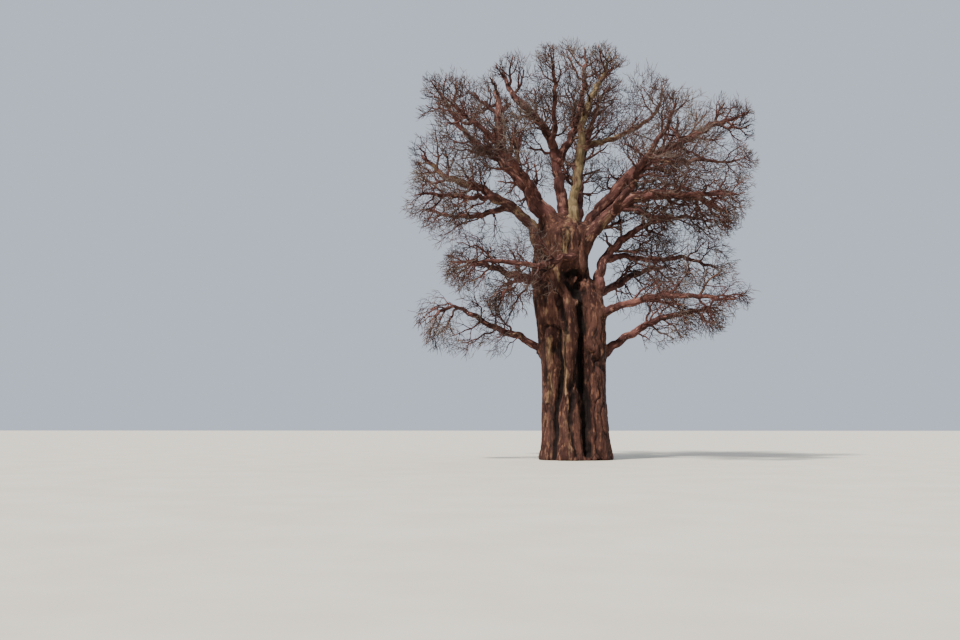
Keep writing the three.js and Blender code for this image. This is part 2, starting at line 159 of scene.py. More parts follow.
# %% Sizes of the boughs
SIZES = ("heading", "rise", "length", "radius", "reach", "drift", "lift")
TRUNK_BOUGHS = {  # the seat in the trunk, then the sizes above
    "left_leader": ((-0.7, -0.1, 10.7), (184, 190), (58, 56, 92), 6.3,
                    (0.45, 0.24), 2.1, (-0.6, 1.05, 1.1), 0.15),
    "centre_left": ((-0.3, 0.15, 10.8), (180, 176), (86, 76, 42), 7.2,
                    (0.3, 0.19), 1.95, (0, 0.2, 0.95), 0.2),
    "centre": ((0.06, -0.35, 10.6), (0, 5), (92, 84, 60), 7.35,
               (0.25, 0.15), 1.85, (0.25, -0.15, 0.5), 0.2),
    "right_high": ((0.15, 0.06, 9.9), (0, 3), (78, 38, 33), 8.9,
                   (0.36, 0.17), 2, (0.6, 0, -0.05), 0.15),
    "right_arm": ((0.18, -0.33, 9.9), (-5, 0), (60, 28, -10), 5.95,
                  (0.37, 0.21), 2, (1, 0.1, -0.5), 0),
    "left_arm": ((-1.45, 0, 9.3), (180, 176), (78, 46, 12), 6.3,
                 (0.29, 0.18), 2.05, (-0.7, -0.1, 0.9), 0.1),
    "back_left": ((-0.75, 0.5, 10.4), (126, 116), (62, 45, 50), 6.2,
                  (0.33, 0.18), 2.4, (-0.6, 0.9, 0.7), 0.15),
    "back_centre": ((0, 0.55, 10.45), (84, 92), (64, 46, 44), 6.4,
                    (0.33, 0.18), 2.3, (0.1, 0.9, 0.6), 0.1),
    "back_right": ((0.2, 0.28, 10.2), (50, 46), (58, 40, 44), 6.5,
                   (0.31, 0.17), 2.4, (0.9, 0.7, 0.5), 0.1),
    "right_stem": ((0.94, 0, 6.5), (0, 16), (80, 73, 22), 5.1,
                   (0.31, 0.17), 1.6, (0.9, 0.3, 0.3), 0),
    "left_mid": ((0.1, -0.65, 9.45), (252, 178), (2, -14, 14), 4,
                 (0.165, 0.115), 2.05, (-1.2, -0.5, 0.1), -0.05),
    "left_low": ((-1.25, -0.25, 4.65), (188, 196), (66, 20, 36), 4.5,
                 (0.2, 0.12), 2, (-0.7, -0.2, -0.2), -0.3),
    "right_low": ((0.95, 0.1, 4.5), (4, 18), (50, 32, 10), 4.7,
                  (0.23, 0.14), 1.8, (1, 0.3, 0.15), -0.1),
    "right_mid": ((0.9, -0.4, 6.35), (-38, -24), (44, 8, -6), 4.9,
                  (0.205, 0.13), 2, (0.9, -0.5, 0.2), -0.1),
    "back_low_left": ((-0.85, 0.7, 7.5), (142, 138), (44, 25, 22), 5,
                      (0.24, 0.14), 2.3, (-0.9, 0.8, 0.2), -0.1),
    "back_low_right": ((0.5, 0.75, 7.2), (54, 48), (46, 24, 20), 5.2,
                       (0.25, 0.14), 2.3, (0.9, 0.9, 0.2), -0.1),
}
SIDE_BOUGHS = {  # the carrier and the share of it at which the bough leaves, then the sizes
    "left_far": ("left_leader", 0.52, (200, 194), (34, 40, 52), 4.4,
                 (0.2, 0.12), 1.85, (-0.4, -0.1, 0.5), 0.1),
    "left_front": ("left_leader", 0.36, (262, 220), (32, 26, 32), 4.5,
                   (0.22, 0.13), 2.25, (-0.5, -1.1, 0.3), 0.1),
    "centre_red": ("centre_left", 0.5, (10, 55), (64, 64, 86), 4.1,
                   (0.21, 0.135), 2.05, (-0.45, 0.9, 1.2), 0.2),
    "centre_front": ("centre_left", 0.62, (276, 272), (24, 36, 46), 3,
                     (0.15, 0.1), 1.85, (-0.25, -0.9, 0.25), 0.15),
    "centre_right": ("centre", 0.59, (0, 12), (36, 14, 50), 3.4,
                     (0.14, 0.1), 1.8, (-0.4, 0, 1.7), 0.2),
    "right_long": ("right_high", 0.64, (-12, -4), (6, -4, -8), 3.1,
                   (0.11, 0.08), 1.45, (0.75, -0.2, -0.05), -0.05),
    "right_front": ("right_arm", 0.4, (-62, -66), (34, 26, 34), 4.6,
                    (0.19, 0.12), 2.25, (0.3, -1.3, 0.2), 0.1),
    "right_front_low": ("right_arm", 0.68, (-50, -36), (0, -12, 0), 2.9,
                        (0.15, 0.105), 1.9, (0.9, -0.7, -0.3), -0.1),
    "right_back": ("right_arm", 0.52, (52, 40), (-4, 0, 8), 4.6,
                   (0.17, 0.11), 2, (0.8, 0.6, 0.1), 0),
    "back_high": ("back_centre", 0.4, (60, 50), (76, 74, 66), 4.9,
                  (0.2, 0.12), 1.95, (0.8, 0.5, 0.8), 0.2),
    "left_front_low": ("left_arm", 0.66, (236, 222), (2, -10, 0), 3,
                       (0.15, 0.105), 1.8, (-0.5, -0.9, -0.2), -0.1),
    "left_back": ("left_arm", 0.52, (136, 148), (8, 0, 10), 3.8,
                  (0.17, 0.11), 2, (-0.3, 1, 0.1), 0),
    "right_out": ("right_stem", 0.62, (24, 6), (14, -2, 4), 3.5,
                  (0.15, 0.105), 1.95, (1.1, 0.1, -0.1), -0.05),
}
BOUGHS = {name: dict(zip(("seat", *SIZES), row)) for name, row in TRUNK_BOUGHS.items()}
BOUGHS |= {name: dict(zip(("on", "share", *SIZES), row)) for name, row in SIDE_BOUGHS.items()}
TUFT = dict(  # a mass that leaves the trunk's side with no bough
    seat=(-1.6, -0.45, 8.15), heading=196, rise=12, radius=0.13,
    reach=1.5, drift=(-1.4, -0.3, -0.4), lift=-0.3)
print(len(BOUGHS), "boughs,", len(TRUNK_BOUGHS), "of them from the trunk")

# %% Walk the boughs
BOUGH_STEP = 0.8  # metres, the most in one straight stretch
COLLAR = 0.45  # a bough is this much thicker where it leaves its carrier
COLLAR_RUN = 1.6  # and loses that over this many radii
WANDER = 7  # degrees off its smooth line
WANDER_LEAST = 0.2  # share of that at the ends
SWINGS, DIPS = 1.7, 1.3  # waves to and fro, and up and down
SWING_DRAW, DIP_DRAW = 1, 2
DECIMALS = 9  # of the number of stretches, so that a whole one isn't rounded up


def bend(ends, share):
    """The parabola through three values at the start, the middle and the end."""
    start, middle, end = ends
    return (start * (1 - share) * (1 - 2 * share) + middle * 4 * share * (1 - share)
            + end * share * (2 * share - 1))


def walk_bough(spec, index, seat):
    """A centreline of equal stretches. Each points along the bough's heading and rise there,
    plus a wander that swings as a sine, and the joints are their running sum. The radius
    falls evenly, plus a collar that dies away as exp(-distance) from the seat."""
    count = math.ceil(round(spec["length"] / BOUGH_STEP, DECIMALS))
    step = spec["length"] / count
    share = (np.arange(count) + 0.5) / count
    stray = WANDER * np.minimum(1, 4 * share * (1 - share) + WANDER_LEAST)
    swing = 2 * np.pi * (SWINGS * share + chance(index, SWING_DRAW))
    dip = 2 * np.pi * (DIPS * share + chance(index, DIP_DRAW))
    heading = spec["heading"][0] + (spec["heading"][1] - spec["heading"][0]) * share
    directions = pointing_at(heading + stray * np.sin(swing),
                             bend(spec["rise"], share) + stray * np.sin(dip))
    joints = np.vstack([seat, seat + np.cumsum(directions * step, axis=0)])
    place = np.arange(count + 1)
    before, after = directions[np.maximum(place - 1, 0)], directions[np.minimum(place, count - 1)]
    collar = COLLAR * np.exp(-place * step / (COLLAR_RUN * spec["radius"][0]))
    radii = (spec["radius"][0] + (spec["radius"][1] - spec["radius"][0]) * place / count
             + spec["radius"][0] * collar)
    return dict(points=joints, tangents=unit(before + after), radii=radii,
                sideways=pointing_at(spec["heading"][0] + 90, 0))


def place_on(limb, share):
    """The point a share of the way along a limb's joints."""
    place = share * (len(limb["points"]) - 1)
    return np.array([np.interp(place, np.arange(len(limb["points"])), limb["points"][:, axis])
                     for axis in range(3)])


limbs = {}
for index, (name, spec) in enumerate(BOUGHS.items()):
    seat = place_on(limbs[spec["on"]], spec["share"]) if "on" in spec else np.array(spec["seat"])
    limbs[name] = walk_bough(spec, index, seat)
worst = 0
for name, limb in limbs.items():
    low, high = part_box(f"bough_{name}")
    far = limb["points"][-1]
    worst = max(worst, *(np.array(low) - far), *(far - np.array(high)))
print(f"{len(limbs)} boughs; the tip furthest outside its solid's box is {worst * 1000:.1f} mm off")

# %% [markdown]
# A baobab's trunk isn't round. It grows as ribs and folds, with deep clefts between them that
# run up to the boughs, and old wounds leave dents and knobs. Sculpting by hand would show all
# that from one side only. Here the trunk is one function of heading and height: smooth widths,
# the broad flutes of the solid, and then strokes, each a short path on the trunk's skin that
# presses a cleft in or raises a rib. The same strokes, turned half way round, serve the back.

# %% Sizes of the trunk
TRUNK_RINGS = np.array([  # height, middle, half width, half depth
    (0, 0, 1.78, 1.86),
    (0.5, -0.01, 1.68, 1.76),
    (1.2, -0.02, 1.59, 1.66),
    (2.2, -0.03, 1.53, 1.58),
    (3.3, -0.04, 1.5, 1.54),
    (4.6, -0.08, 1.56, 1.54),
    (5.8, -0.13, 1.62, 1.56),
    (6.9, -0.19, 1.63, 1.52),
    (7.8, -0.33, 1.58, 1.43),
    (8.5, -0.6, 1.44, 1.36),
    (9.3, -0.65, 1.36, 1.31),
    (10.1, -0.61, 1.35, 1.29),
    (10.7, -0.52, 1.33, 1.23),
    (11.15, -0.45, 1.13, 1.03),
    (11.45, -0.4, 0.7, 0.64),
    (11.56, -0.38, 0.24, 0.22),
])
FLUTES = (  # heading, swell as a share of the radius, half breadth in degrees
    (-38, 0.07, 22), (-73, -0.17, 9), (-99, 0.07, 13), (-122, -0.09, 7), (-147, 0.06, 15),
    (-172, -0.06, 8), (142, 0.06, 16), (114, -0.12, 9), (86, 0.07, 16), (60, -0.1, 8),
    (33, 0.05, 15), (6, -0.05, 8))
FLUTE_FULL = (2.5, 8.2)  # heights between which the flutes are at their deepest
FLUTE_FADE = 3.2  # metres beyond those over which they fade
FLUTE_REST = 0.35  # to this share of their depth
SMOOTHING = np.linspace(-0.25, 0.25, 7)  # metres of height that the widths are averaged over
GRID = 0.04  # spacing of the skin's points
SKIN_RADIUS = 1.5  # turns a heading on the skin into metres
WARP, WARP_SIZE = (0.1, 0.2), (0.7, 0.9)  # metres that noise bends a stroke by, across and up
WARP_SEEDS = (11, 21)
CUT_POWER, PALE_POWER = 3, 1.4  # how steeply a stroke and its paleness end
FULL_CLEFT = 0.2  # a stroke this deep gets the darkest painted shade
STROKES = (  # path of headings and heights, half breadth, rise (a cleft's is below 0), paleness
    (((-44, 8.6), (-66, 7.9), (-67, 6.9), (-67, 6), (-70, 5.3), (-72, 4.6), (-69, 3.6),
      (-67, 2.7), (-68, 1.8), (-71, 0.3)), 0.17, -0.4, 0),
    (((-74, 5.4), (-76, 4.6), (-73, 3.4)), 0.28, -0.22, 0),
    (((-82, 8.75), (-61, 8.9), (-44, 8.6)), 0.24, -0.34, 0),
    (((-84, 8.3), (-75, 7.7)), 0.2, -0.24, 0),
    (((-146, 5.75), (-138, 6.2), (-124, 6.3), (-115, 5.8)), 0.11, -0.13, 0),
    (((-143, 5.7), (-143, 4.6), (-151, 3.5)), 0.1, -0.14, 0),
    (((-115, 5.9), (-111, 5), (-114, 4.3), (-121, 3.4), (-125, 2.4), (-127, 0.2)), 0.13, -0.22, 0),
    (((-112, 7.5), (-106, 6.9), (-100, 6.4), (-99, 5.9)), 0.11, -0.16, 0),
    (((-63, 5), (-48, 4.4), (-27, 4.05)), 0.1, -0.13, 0),
    (((-168, 9.1), (-142, 9), (-122, 8.95)), 0.16, -0.2, 0),
    (((-84, 4.4), (-91, 3.2), (-96, 1.8), (-94, 0.2)), 0.09, -0.16, 0),
    (((-99, 5.9), (-101, 4.6), (-104, 3.2)), 0.27, 0.17, 0.9),
    (((-104, 2.8), (-100, 1.5), (-102, 0.3)), 0.3, 0.04, 0.5),
    (((-130, 5.6), (-131, 4.2), (-138, 2.8)), 0.19, 0.08, 0.7),
    (((-16, 7.6), (-30, 6.9), (-36, 6), (-38, 5)), 0.45, 0.12, 0.3),
    (((-42, 4), (-42, 2.8), (-46, 0.8)), 0.35, 0.05, 0),
    (((-115, 8.9), (-99, 8.8), (-95, 8.3)), 0.22, 0.1, 1),
    (((-70, 7.8), (-71, 7.2)), 0.18, 0.26, 0.9),
    (((-150, 8.5), (-140, 7.7), (-134, 6.8)), 0.5, 0.08, 0.35),
    (((-80, 11.2), (-72, 10.3), (-79, 9.7)), 0.35, 0.04, 0.8),
    (((-90, 7.7), (-92, 7.1), (-88, 6.2)), 0.14, 0.06, 0.5),
    (((-118, 2.6), (-112, 1.2), (-120, 0.2)), 0.3, 0.07, 0.35),
    (((-140, 4.8), (-146, 3), (-150, 1)), 0.3, 0.04, 0.45),
)
print(len(FLUTES), "flutes and", len(STROKES), "strokes")

# %% The trunk's skin


def trunk_widths(height):
    """Middle, half width and half depth at each height: straight between the rings, then
    averaged over a stretch of height, which rounds the corners off."""
    near = np.abs(height + SMOOTHING[:, None])
    return [np.interp(near, TRUNK_RINGS[:, 0], TRUNK_RINGS[:, ring]).mean(axis=0)
            for ring in (1, 2, 3)]


def degrees_from(middle, heading):
    """How many degrees a heading is past a middle one, from -180 to 180."""
    return (heading - middle + 180) % 360 - 180


def flutes(heading, height):
    """One plus each flute's swell times exp(-(degrees away / breadth)^2), and shallower by a
    smooth step below and above the stretch where the flutes are at their deepest."""
    beyond = np.maximum(FLUTE_FULL[0] - height, height - FLUTE_FULL[1]) / FLUTE_FADE
    beyond = np.clip(beyond, 0, 1)
    depth = 1 - (1 - FLUTE_REST) * beyond * beyond * (3 - 2 * beyond)
    total = np.ones_like(heading)
    for middle, swell, breadth in FLUTES:
        total += depth * swell * np.exp(-(degrees_from(middle, heading) / breadth) ** 2)
    return total


def distance_to_path(across, up, path):
    """Distance on the unrolled skin from points to a path of straight stretches: for each
    stretch, to the foot of the perpendicular or to its nearer end."""
    nearest = np.full(across.shape, np.inf)
    for (x0, y0), (x1, y1) in zip(path[:-1], path[1:]):
        run_x, run_y = x1 - x0, y1 - y0
        share = ((across - x0) * run_x + (up - y0) * run_y) / (run_x**2 + run_y**2)
        share = np.clip(share, 0, 1)
        gap = np.hypot(across - x0 - share * run_x, up - y0 - share * run_y)
        nearest = np.minimum(nearest, gap)
    return nearest


def strokes_at(heading, height):
    """The strokes' summed depth, the painted shade of their clefts, darkest in the deepest, and
    the palest of them, on the skin. A stroke's strength falls as exp(-(distance / breadth)^3), so
    its walls are steep and its floor is flat. Its paleness falls more softly, to the power 1.4."""
    places = np.stack([np.cos(np.radians(heading)) * SKIN_RADIUS,
                       np.sin(np.radians(heading)) * SKIN_RADIUS, height], axis=1)
    bent_across, bent_up = (
        amount * fractal(places, size, seed)
        for amount, size, seed in zip(WARP, WARP_SIZE, WARP_SEEDS))
    depth, hollow, paleness = (np.zeros(len(heading)) for _ in range(3))
    for path, breadth, rise, pale in STROKES:
        start = path[0][0]
        unrolled = [(np.radians(stop - start) * SKIN_RADIUS, up) for stop, up in path]
        for turn in (0, 180):
            across = np.radians(degrees_from(start + turn, heading)) * SKIN_RADIUS + bent_across
            distance = distance_to_path(across, height + bent_up, unrolled) / breadth
            strength = np.exp(-distance**CUT_POWER)
            depth += rise * strength
            # painted shade: a cleft is painted darker the deeper it is
            hollow = np.maximum(hollow, strength * np.clip(-rise / FULL_CLEFT, 0, 1))
            paleness = np.maximum(paleness, pale * np.exp(-distance**PALE_POWER))
    return depth, hollow, paleness


def trunk_skin():
    """Rings of points at even heights. Radius = width there x flutes + strokes."""
    columns = int(2 * np.pi * SKIN_RADIUS / GRID)
    rows = int(TRUNK_RINGS[-1, 0] / GRID)
    heading, height = np.meshgrid(np.arange(columns) * 360 / columns - 180,
                                  np.linspace(0, TRUNK_RINGS[-1, 0], rows))
    middle, half_width, half_depth = (
        part.reshape(heading.shape) for part in trunk_widths(height.ravel()))
    swell = flutes(heading, height)
    depth = strokes_at(heading.ravel(), height.ravel())[0].reshape(heading.shape)
    angle = np.radians(heading)
    return np.stack([middle + (half_width * swell + depth) * np.cos(angle),
                     (half_depth * swell + depth) * np.sin(angle), height], axis=-1)


skin = trunk_skin()
print("trunk skin", skin.shape, "widest", np.ptp(skin[..., 0]).round(2), "m")

# %% [markdown]
# The crown is bare, so each twig shows against the sky. Thousands of twigs can't be drawn by
# hand, and a plain particle system would give straight hairs. They grow by the rule of the
# solids instead, carried on to finer twigs. An axis walks a few straight stretches, strays a
# little at each joint, turns away from the heart of the crown, and throws side twigs from its
# joints. Each mass keeps to its own ball of air, cut back where it meets its neighbours', and
# a twig that would leave it or come too near a limb is tried shorter and then left out.

# %% Growth rule
STRETCHES = (4, 3, 3, 3, 3, 2)  # stretches of the stem, its side twigs, theirs and so on
SIDES = (2, 2, 2, 2, 1)  # side twigs at each joint of the stem, its side twigs and so on
FINE_FROM = 3  # levels from here on are finer than the solids'
GROWING = (1, 1, 1, 1, 0.75, 0.4)  # share of each level's twigs that grow at all
LENGTH_KEPT = (1, 0.78, 0.78, 0.86, 0.86, 0.86)  # of the parent's length
LENGTH_SPREAD = 0.3  # chance adds or takes up to half of this share
LENGTH_FALL = 0.3  # what is lost towards the parent's tip
SHORTER = (1, 0.72, 0.5)  # the shares of its length at which a twig is tried
RADIUS_KEPT = (1, 0.55, 0.65, 0.65, 0.6, 0.6)  # of the parent's radius at the joint
LEAST_RADIUS = 0.009  # the stout tip of a baobab's twig, a little larger than life
TWIG_TAPER = 0.6  # share of its radius that a twig loses by its tip
SIDE_TILT = (0, 52, 52, 48, 44, 42)  # degrees away from the parent
TILT_SPREAD = 0.4  # chance adds or takes up to half of this share of the tilt
KINK = (0.3, 0.3, 0.3, 0.34, 0.32, 0.32)  # the most that a joint strays along each axis
OUTWARD_PULL = (0.16, 0.16, 0.16, 0.2, 0.22, 0.22)
STEM_PULL = 0.45  # towards the middle of its mass
STEM_REACH = 0.84  # of the way through its mass
GOLDEN_ANGLE = 2.39996  # radians
CROWN_HEART = np.array([0, 0, 11.0])
STEM_KEY, SHOOT_KEY = 1, 2  # what the keys of a mass and of a bough's shoots start from
KEY_STEP, JOINT_STEP = 16, 4  # a twig's key is its parent's x 16 + its joint x 4 + its side
TILT_DRAW, TURN_DRAW, LENGTH_DRAW, FAN_DRAW, RAGGED_DRAW, GROWS_DRAW = 1, 2, 3, 5, 6, 7
STEEP = 0.7  # the upward part of a direction that counts as steep
print("levels of twigs:", len(STRETCHES), "the first", FINE_FROM, "as in the solids")

# %% Walk the twigs


def helper_for(directions):
    """A direction well away from each one given: +X for a steep one, +Z for any other."""
    steep = np.abs(directions[:, 2:]) > STEEP
    return np.where(steep, np.array([1.0, 0, 0]), np.array([0, 0, 1.0]))


def walk_twigs(start, heading, length, radius, key, depth, mass):
    """Axes walked from their starts. At each joint the direction gains a random stray, a pull
    away from the crown's heart and the mass's lift, and a stem's the drift of its mass. The
    radius falls evenly by the taper."""
    count = STRETCHES[depth]
    points, directions = [start], [heading]
    for joint in range(count):
        last, onward = points[-1], directions[-1]
        points.append(last + onward * (length / count)[:, None])
        stray = np.stack([chance(mass["index"], key, joint, axis) for axis in (1, 2, 3)], axis=1)
        onward = onward + (stray - 0.5) * 2 * KINK[depth] + np.array([0, 0, mass["lift"]])
        onward = onward + unit(last - CROWN_HEART) * OUTWARD_PULL[depth]
        if depth == 0:
            onward = onward + mass["drift"] * STEM_PULL
        directions.append(unit(onward))
    taper = 1 - TWIG_TAPER * np.arange(count + 1) / count
    return dict(key=key, points=np.stack(points, axis=1), directions=np.stack(directions, axis=1),
                radii=radius[:, None] * taper, length=length, radius=radius)


def sprout(parents, joint, side, depth, mass, shorter):
    """One side twig for each parent, at one joint. Its heading is the parent's, tilted by about
    the side tilt and turned round it by the golden angle for each joint, half a turn for each
    side, a turn of the parent's own and up to a radian by chance. Its length is the parent's
    times what is kept."""
    key = (parents["key"] * np.uint64(KEY_STEP) + np.uint64(JOINT_STEP * joint + side)) & WORD
    along = joint / (parents["points"].shape[1] - 1)
    tilt = 1 + TILT_SPREAD * (chance(mass["index"], key, TILT_DRAW) - 0.5)
    tilt = tilt * np.radians(SIDE_TILT[depth])
    fan = 2 * np.pi * chance(mass["index"], parents["key"], FAN_DRAW)
    turn = GOLDEN_ANGLE * joint + np.pi * side + fan + chance(mass["index"], key, TURN_DRAW)
    onward = parents["directions"][:, joint]
    across = unit(np.cross(onward, helper_for(onward)))
    beside = np.cross(onward, across)
    tilt, turn = tilt[:, None], turn[:, None]
    heading = (onward * np.cos(tilt) + across * np.sin(tilt) * np.cos(turn)
               + beside * np.sin(tilt) * np.sin(turn))
    length = parents["length"] * LENGTH_KEPT[depth] * (1 - LENGTH_FALL * along) * shorter
    length = length * (1 + LENGTH_SPREAD * (chance(mass["index"], key, LENGTH_DRAW) - 0.5))
    radius = parents["radii"][:, joint] * RADIUS_KEPT[depth]
    return walk_twigs(parents["points"][:, joint], heading, length, radius, key, depth, mass)


# %% [markdown]
# A mass of twigs has a ball of air to itself at the tip of its bough. A twig is kept only if
# it stays there and comes near no limb, which is how the crown keeps its gaps and outline. The
# finest twigs may stray a little past the ball, each by its own amount, because a real crown
# has a ragged edge.

# %% Space for the twigs
CELL_MARGIN = 0.03  # a twig stays this far inside the border of its mass's space
LIMB_MARGIN = 0.06  # and this far from every limb
RAGGED = (-0.4, 0.6)  # how far past its mass's reach a fine twig may go, from least to most
PROUD = 0.1  # how far a twig may stand out of the solids' box
SAMPLES = (0.4, 0.7, 1)  # shares of a stretch at which its distance from limbs is tried
TRUNK_BULGE = 1.1  # the flutes swell the trunk by less than this
INWARD_ROOM = 1.2  # how far shoots reach inwards from the masses' balls


def mass_of(name, spec, index, start, direction, radius):
    """A mass: where its stem starts, and its ball of air, whose middle is the start + drift.
    First is the level that its growth begins with."""
    drift = np.array(spec["drift"])
    return dict(name=name, index=index, start=start, direction=direction, radius=radius,
                middle=start + drift, drift=unit(drift), reach=spec["reach"], lift=spec["lift"],
                first=0)


masses = [mass_of(name, spec, index, limbs[name]["points"][-1], limbs[name]["tangents"][-1],
                  spec["radius"][1]) for index, (name, spec) in enumerate(BOUGHS.items())]
masses.append(mass_of("trunk_left", TUFT, len(masses), np.array(TUFT["seat"]),
                      pointing_at(TUFT["heading"], TUFT["rise"]), TUFT["radius"]))
STARTS = np.vstack([limb["points"][:-1] for limb in limbs.values()])
ENDS = np.vstack([limb["points"][1:] for limb in limbs.values()])
THICK = np.concatenate([np.maximum(limb["radii"][:-1], limb["radii"][1:])
                        for limb in limbs.values()])
LOW, HIGH = (np.array(corner) for corner in solid_box)
print(len(masses), "masses,", len(STARTS), "stretches of limb to keep clear of")

# %% Keep the twigs in their space


def within_space(points, room, mass):
    """True where a ball of radius room round a point is inside the mass's ball and on its side
    of the plane in which that ball meets each neighbour's."""
    inside = np.linalg.norm(points - mass["middle"], axis=1) <= mass["reach"] - room
    own = ((points - mass["middle"]) ** 2).sum(axis=1) - mass["reach"] ** 2
    for other in masses:
        if other is mass:
            continue
        power = ((points - other["middle"]) ** 2).sum(axis=1) - other["reach"] ** 2 - own
        apart = np.linalg.norm(other["middle"] - mass["middle"])
        inside &= power / (2 * apart) > room
    return inside


def clear_of_limbs(points, room, near):
    """True where points are further than room from each near stretch of limb."""
    run = ENDS[near] - STARTS[near]
    offset = points[:, None] - STARTS[near]
    share = np.clip((offset * run).sum(axis=2) / (run**2).sum(axis=1), 0, 1)
    gap = np.linalg.norm(offset - share[..., None] * run, axis=2)
    return (gap > THICK[near] + room[:, None]).all(axis=1)


def clear_of_trunk(points, room):
    """True where points are above the trunk or outside its widest ellipse at their height."""
    ring = np.searchsorted(TRUNK_RINGS[:, 0], points[:, 2], side="right") - 1
    _, middle, half_width, half_depth = TRUNK_RINGS[np.maximum(ring, 0)].T
    across = (points[:, 0] - middle) / (half_width * TRUNK_BULGE + room)
    deep = points[:, 1] / (half_depth * TRUNK_BULGE + room)
    return (np.hypot(across, deep) > 1) | (points[:, 2] > TRUNK_RINGS[-1, 0])


def within_crown(points, room):
    """True where points are in the ball of some mass, or up to the inward room outside it on
    the side that faces the crown's heart."""
    good = np.zeros(len(points), bool)
    for mass in masses:
        offset = points - mass["middle"]
        inward = (offset * unit(mass["middle"] - CROWN_HEART)).sum(axis=1) < 0
        reach = mass["reach"] + np.where(inward, INWARD_ROOM, 0)
        good |= np.linalg.norm(offset, axis=1) < reach - room
    return good


def fits(twigs, depth, mass, near):
    """True for twigs whose joints stay in the box and in their mass's space, or for a shoot in
    the crown's, and whose stretches are clear of the limbs. The first stretch of a stem or a
    shoot leaves its own limb, so it isn't tried."""
    good = np.ones(len(twigs["key"]), bool)
    room = twigs["radius"] + CELL_MARGIN
    if depth >= FINE_FROM:
        stray = chance(mass["index"], twigs["key"], RAGGED_DRAW)
        room = room - RAGGED[0] - (RAGGED[1] - RAGGED[0]) * stray
    for joint in range(1, twigs["points"].shape[1]):
        if depth == mass["first"] and joint == 1:
            continue
        before, after = twigs["points"][:, joint - 1], twigs["points"][:, joint]
        good &= ((after > LOW - PROUD) & (after < HIGH + PROUD)).all(axis=1)
        if mass["first"]:
            good &= within_crown(after, room)
        elif depth < FINE_FROM:
            good &= within_space(after, room, mass)
        else:
            good &= np.linalg.norm(after - mass["middle"], axis=1) < mass["reach"] - room
        for share in SAMPLES:
            point = before + (after - before) * share
            gap = twigs["radius"] + LIMB_MARGIN
            good &= clear_of_limbs(point, gap, near) & clear_of_trunk(point, gap)
    return good


held = sum(within_space(mass["middle"][None], 0, mass)[0] for mass in masses)
print(held, "masses have their middle in their own space")

# %% Grow the masses


def chosen(twigs, keep):
    """Those of a set of twigs that are kept."""
    return {name: values[keep] for name, values in twigs.items()}


def together(groups):
    """Several sets of twigs as one."""
    return {name: np.concatenate([group[name] for group in groups]) for name in groups[0]}


def side_twigs(parents, joint, side, depth, mass, near):
    """The side twigs of one joint and side, in sets. Each takes the first of the lengths that
    fits, and where none does the twig is left out."""
    groups = []
    for shorter in SHORTER:
        tried = sprout(parents, joint, side, depth, mass, shorter)
        good = fits(tried, depth, mass, near)
        groups.append(chosen(tried, good))
        parents = chosen(parents, ~good)
    return groups


def carried_on(levels, mass, near):
    """The levels of twigs given, and those that they carry, to the finest."""
    for depth in range(mass["first"] + len(levels), len(STRETCHES)):
        parents, groups = levels[-1], []
        for joint in range(1, STRETCHES[depth - 1]):
            for side in range(SIDES[depth - 1]):
                draw = chance(mass["index"], parents["key"], joint, side, GROWS_DRAW)
                growing = chosen(parents, draw < GROWING[depth])
                groups += side_twigs(growing, joint, side, depth, mass, near)
        levels.append(together(groups))
    return levels


def grow(mass):
    """A mass's stem, at the first of the lengths that fits, and all that it carries."""
    far = np.minimum(np.linalg.norm(STARTS - mass["middle"], axis=1),
                     np.linalg.norm(ENDS - mass["middle"], axis=1))
    near = np.flatnonzero(far < mass["reach"] + BOUGH_STEP + LIMB_MARGIN)
    across = mass["reach"] + np.linalg.norm(mass["middle"] - mass["start"])
    for shorter in SHORTER:
        stem = walk_twigs(mass["start"][None], mass["direction"][None],
                          np.array([across * STEM_REACH * shorter]), np.array([mass["radius"]]),
                          np.array([STEM_KEY], np.uint64), 0, mass)
        if fits(stem, 0, mass, near).all():
            break
    return carried_on([stem], mass, near)


grown = {mass["name"]: grow(mass) for mass in masses}
counts = np.array([[len(level["key"]) for level in levels] for levels in grown.values()])
print("twigs at each level:", counts.sum(axis=0), "in all", counts.sum())

# %% [markdown]
# A mass is only the end of a bough. A real bough also carries branches further back, and they
# fill the crown between the masses. They sprout by the same rule, from the joints of the outer
# part of each bough, and stay near the masses, so the crown reaches no further than before.

# %% Shoots along the boughs
SHOOTS_FROM = 0.22  # share of a bough that carries none
SHOOT_LENGTH = 2.2
SHOOT_RADIUS = 0.36  # its share of the bough's radius
SHOOT_LIFT = 0.06


def shoots_of(limb, index):
    """The shoots of a bough, as many at each joint of its outer part as on a stem, and what
    they carry, as a mass that starts at level 1 and has no ball of air of its own. The bough's
    joints stand in for a stem's."""
    count = len(limb["points"]) - 1
    mass = dict(index=len(masses) + index, first=1, lift=SHOOT_LIFT)
    parent = dict(points=limb["points"][None], directions=limb["tangents"][None],
                  radii=limb["radii"][None] * SHOOT_RADIUS / RADIUS_KEPT[1],
                  length=np.array([SHOOT_LENGTH / LENGTH_KEPT[1]]), radius=limb["radii"][:1],
                  key=np.array([SHOOT_KEY], np.uint64))
    near = np.arange(len(STARTS))
    groups = []
    for joint in range(math.ceil(SHOOTS_FROM * count), count):
        for side in range(SIDES[0]):
            groups += side_twigs(parent, joint, side, 1, mass, near)
    return mass, carried_on([together(groups)], mass, near)


shoots = [shoots_of(limb, index) for index, limb in enumerate(limbs.values())]
counts = np.array([[len(level["key"]) for level in levels] for _, levels in shoots])
print("shoots at each level:", counts.sum(axis=0), "in all", counts.sum())
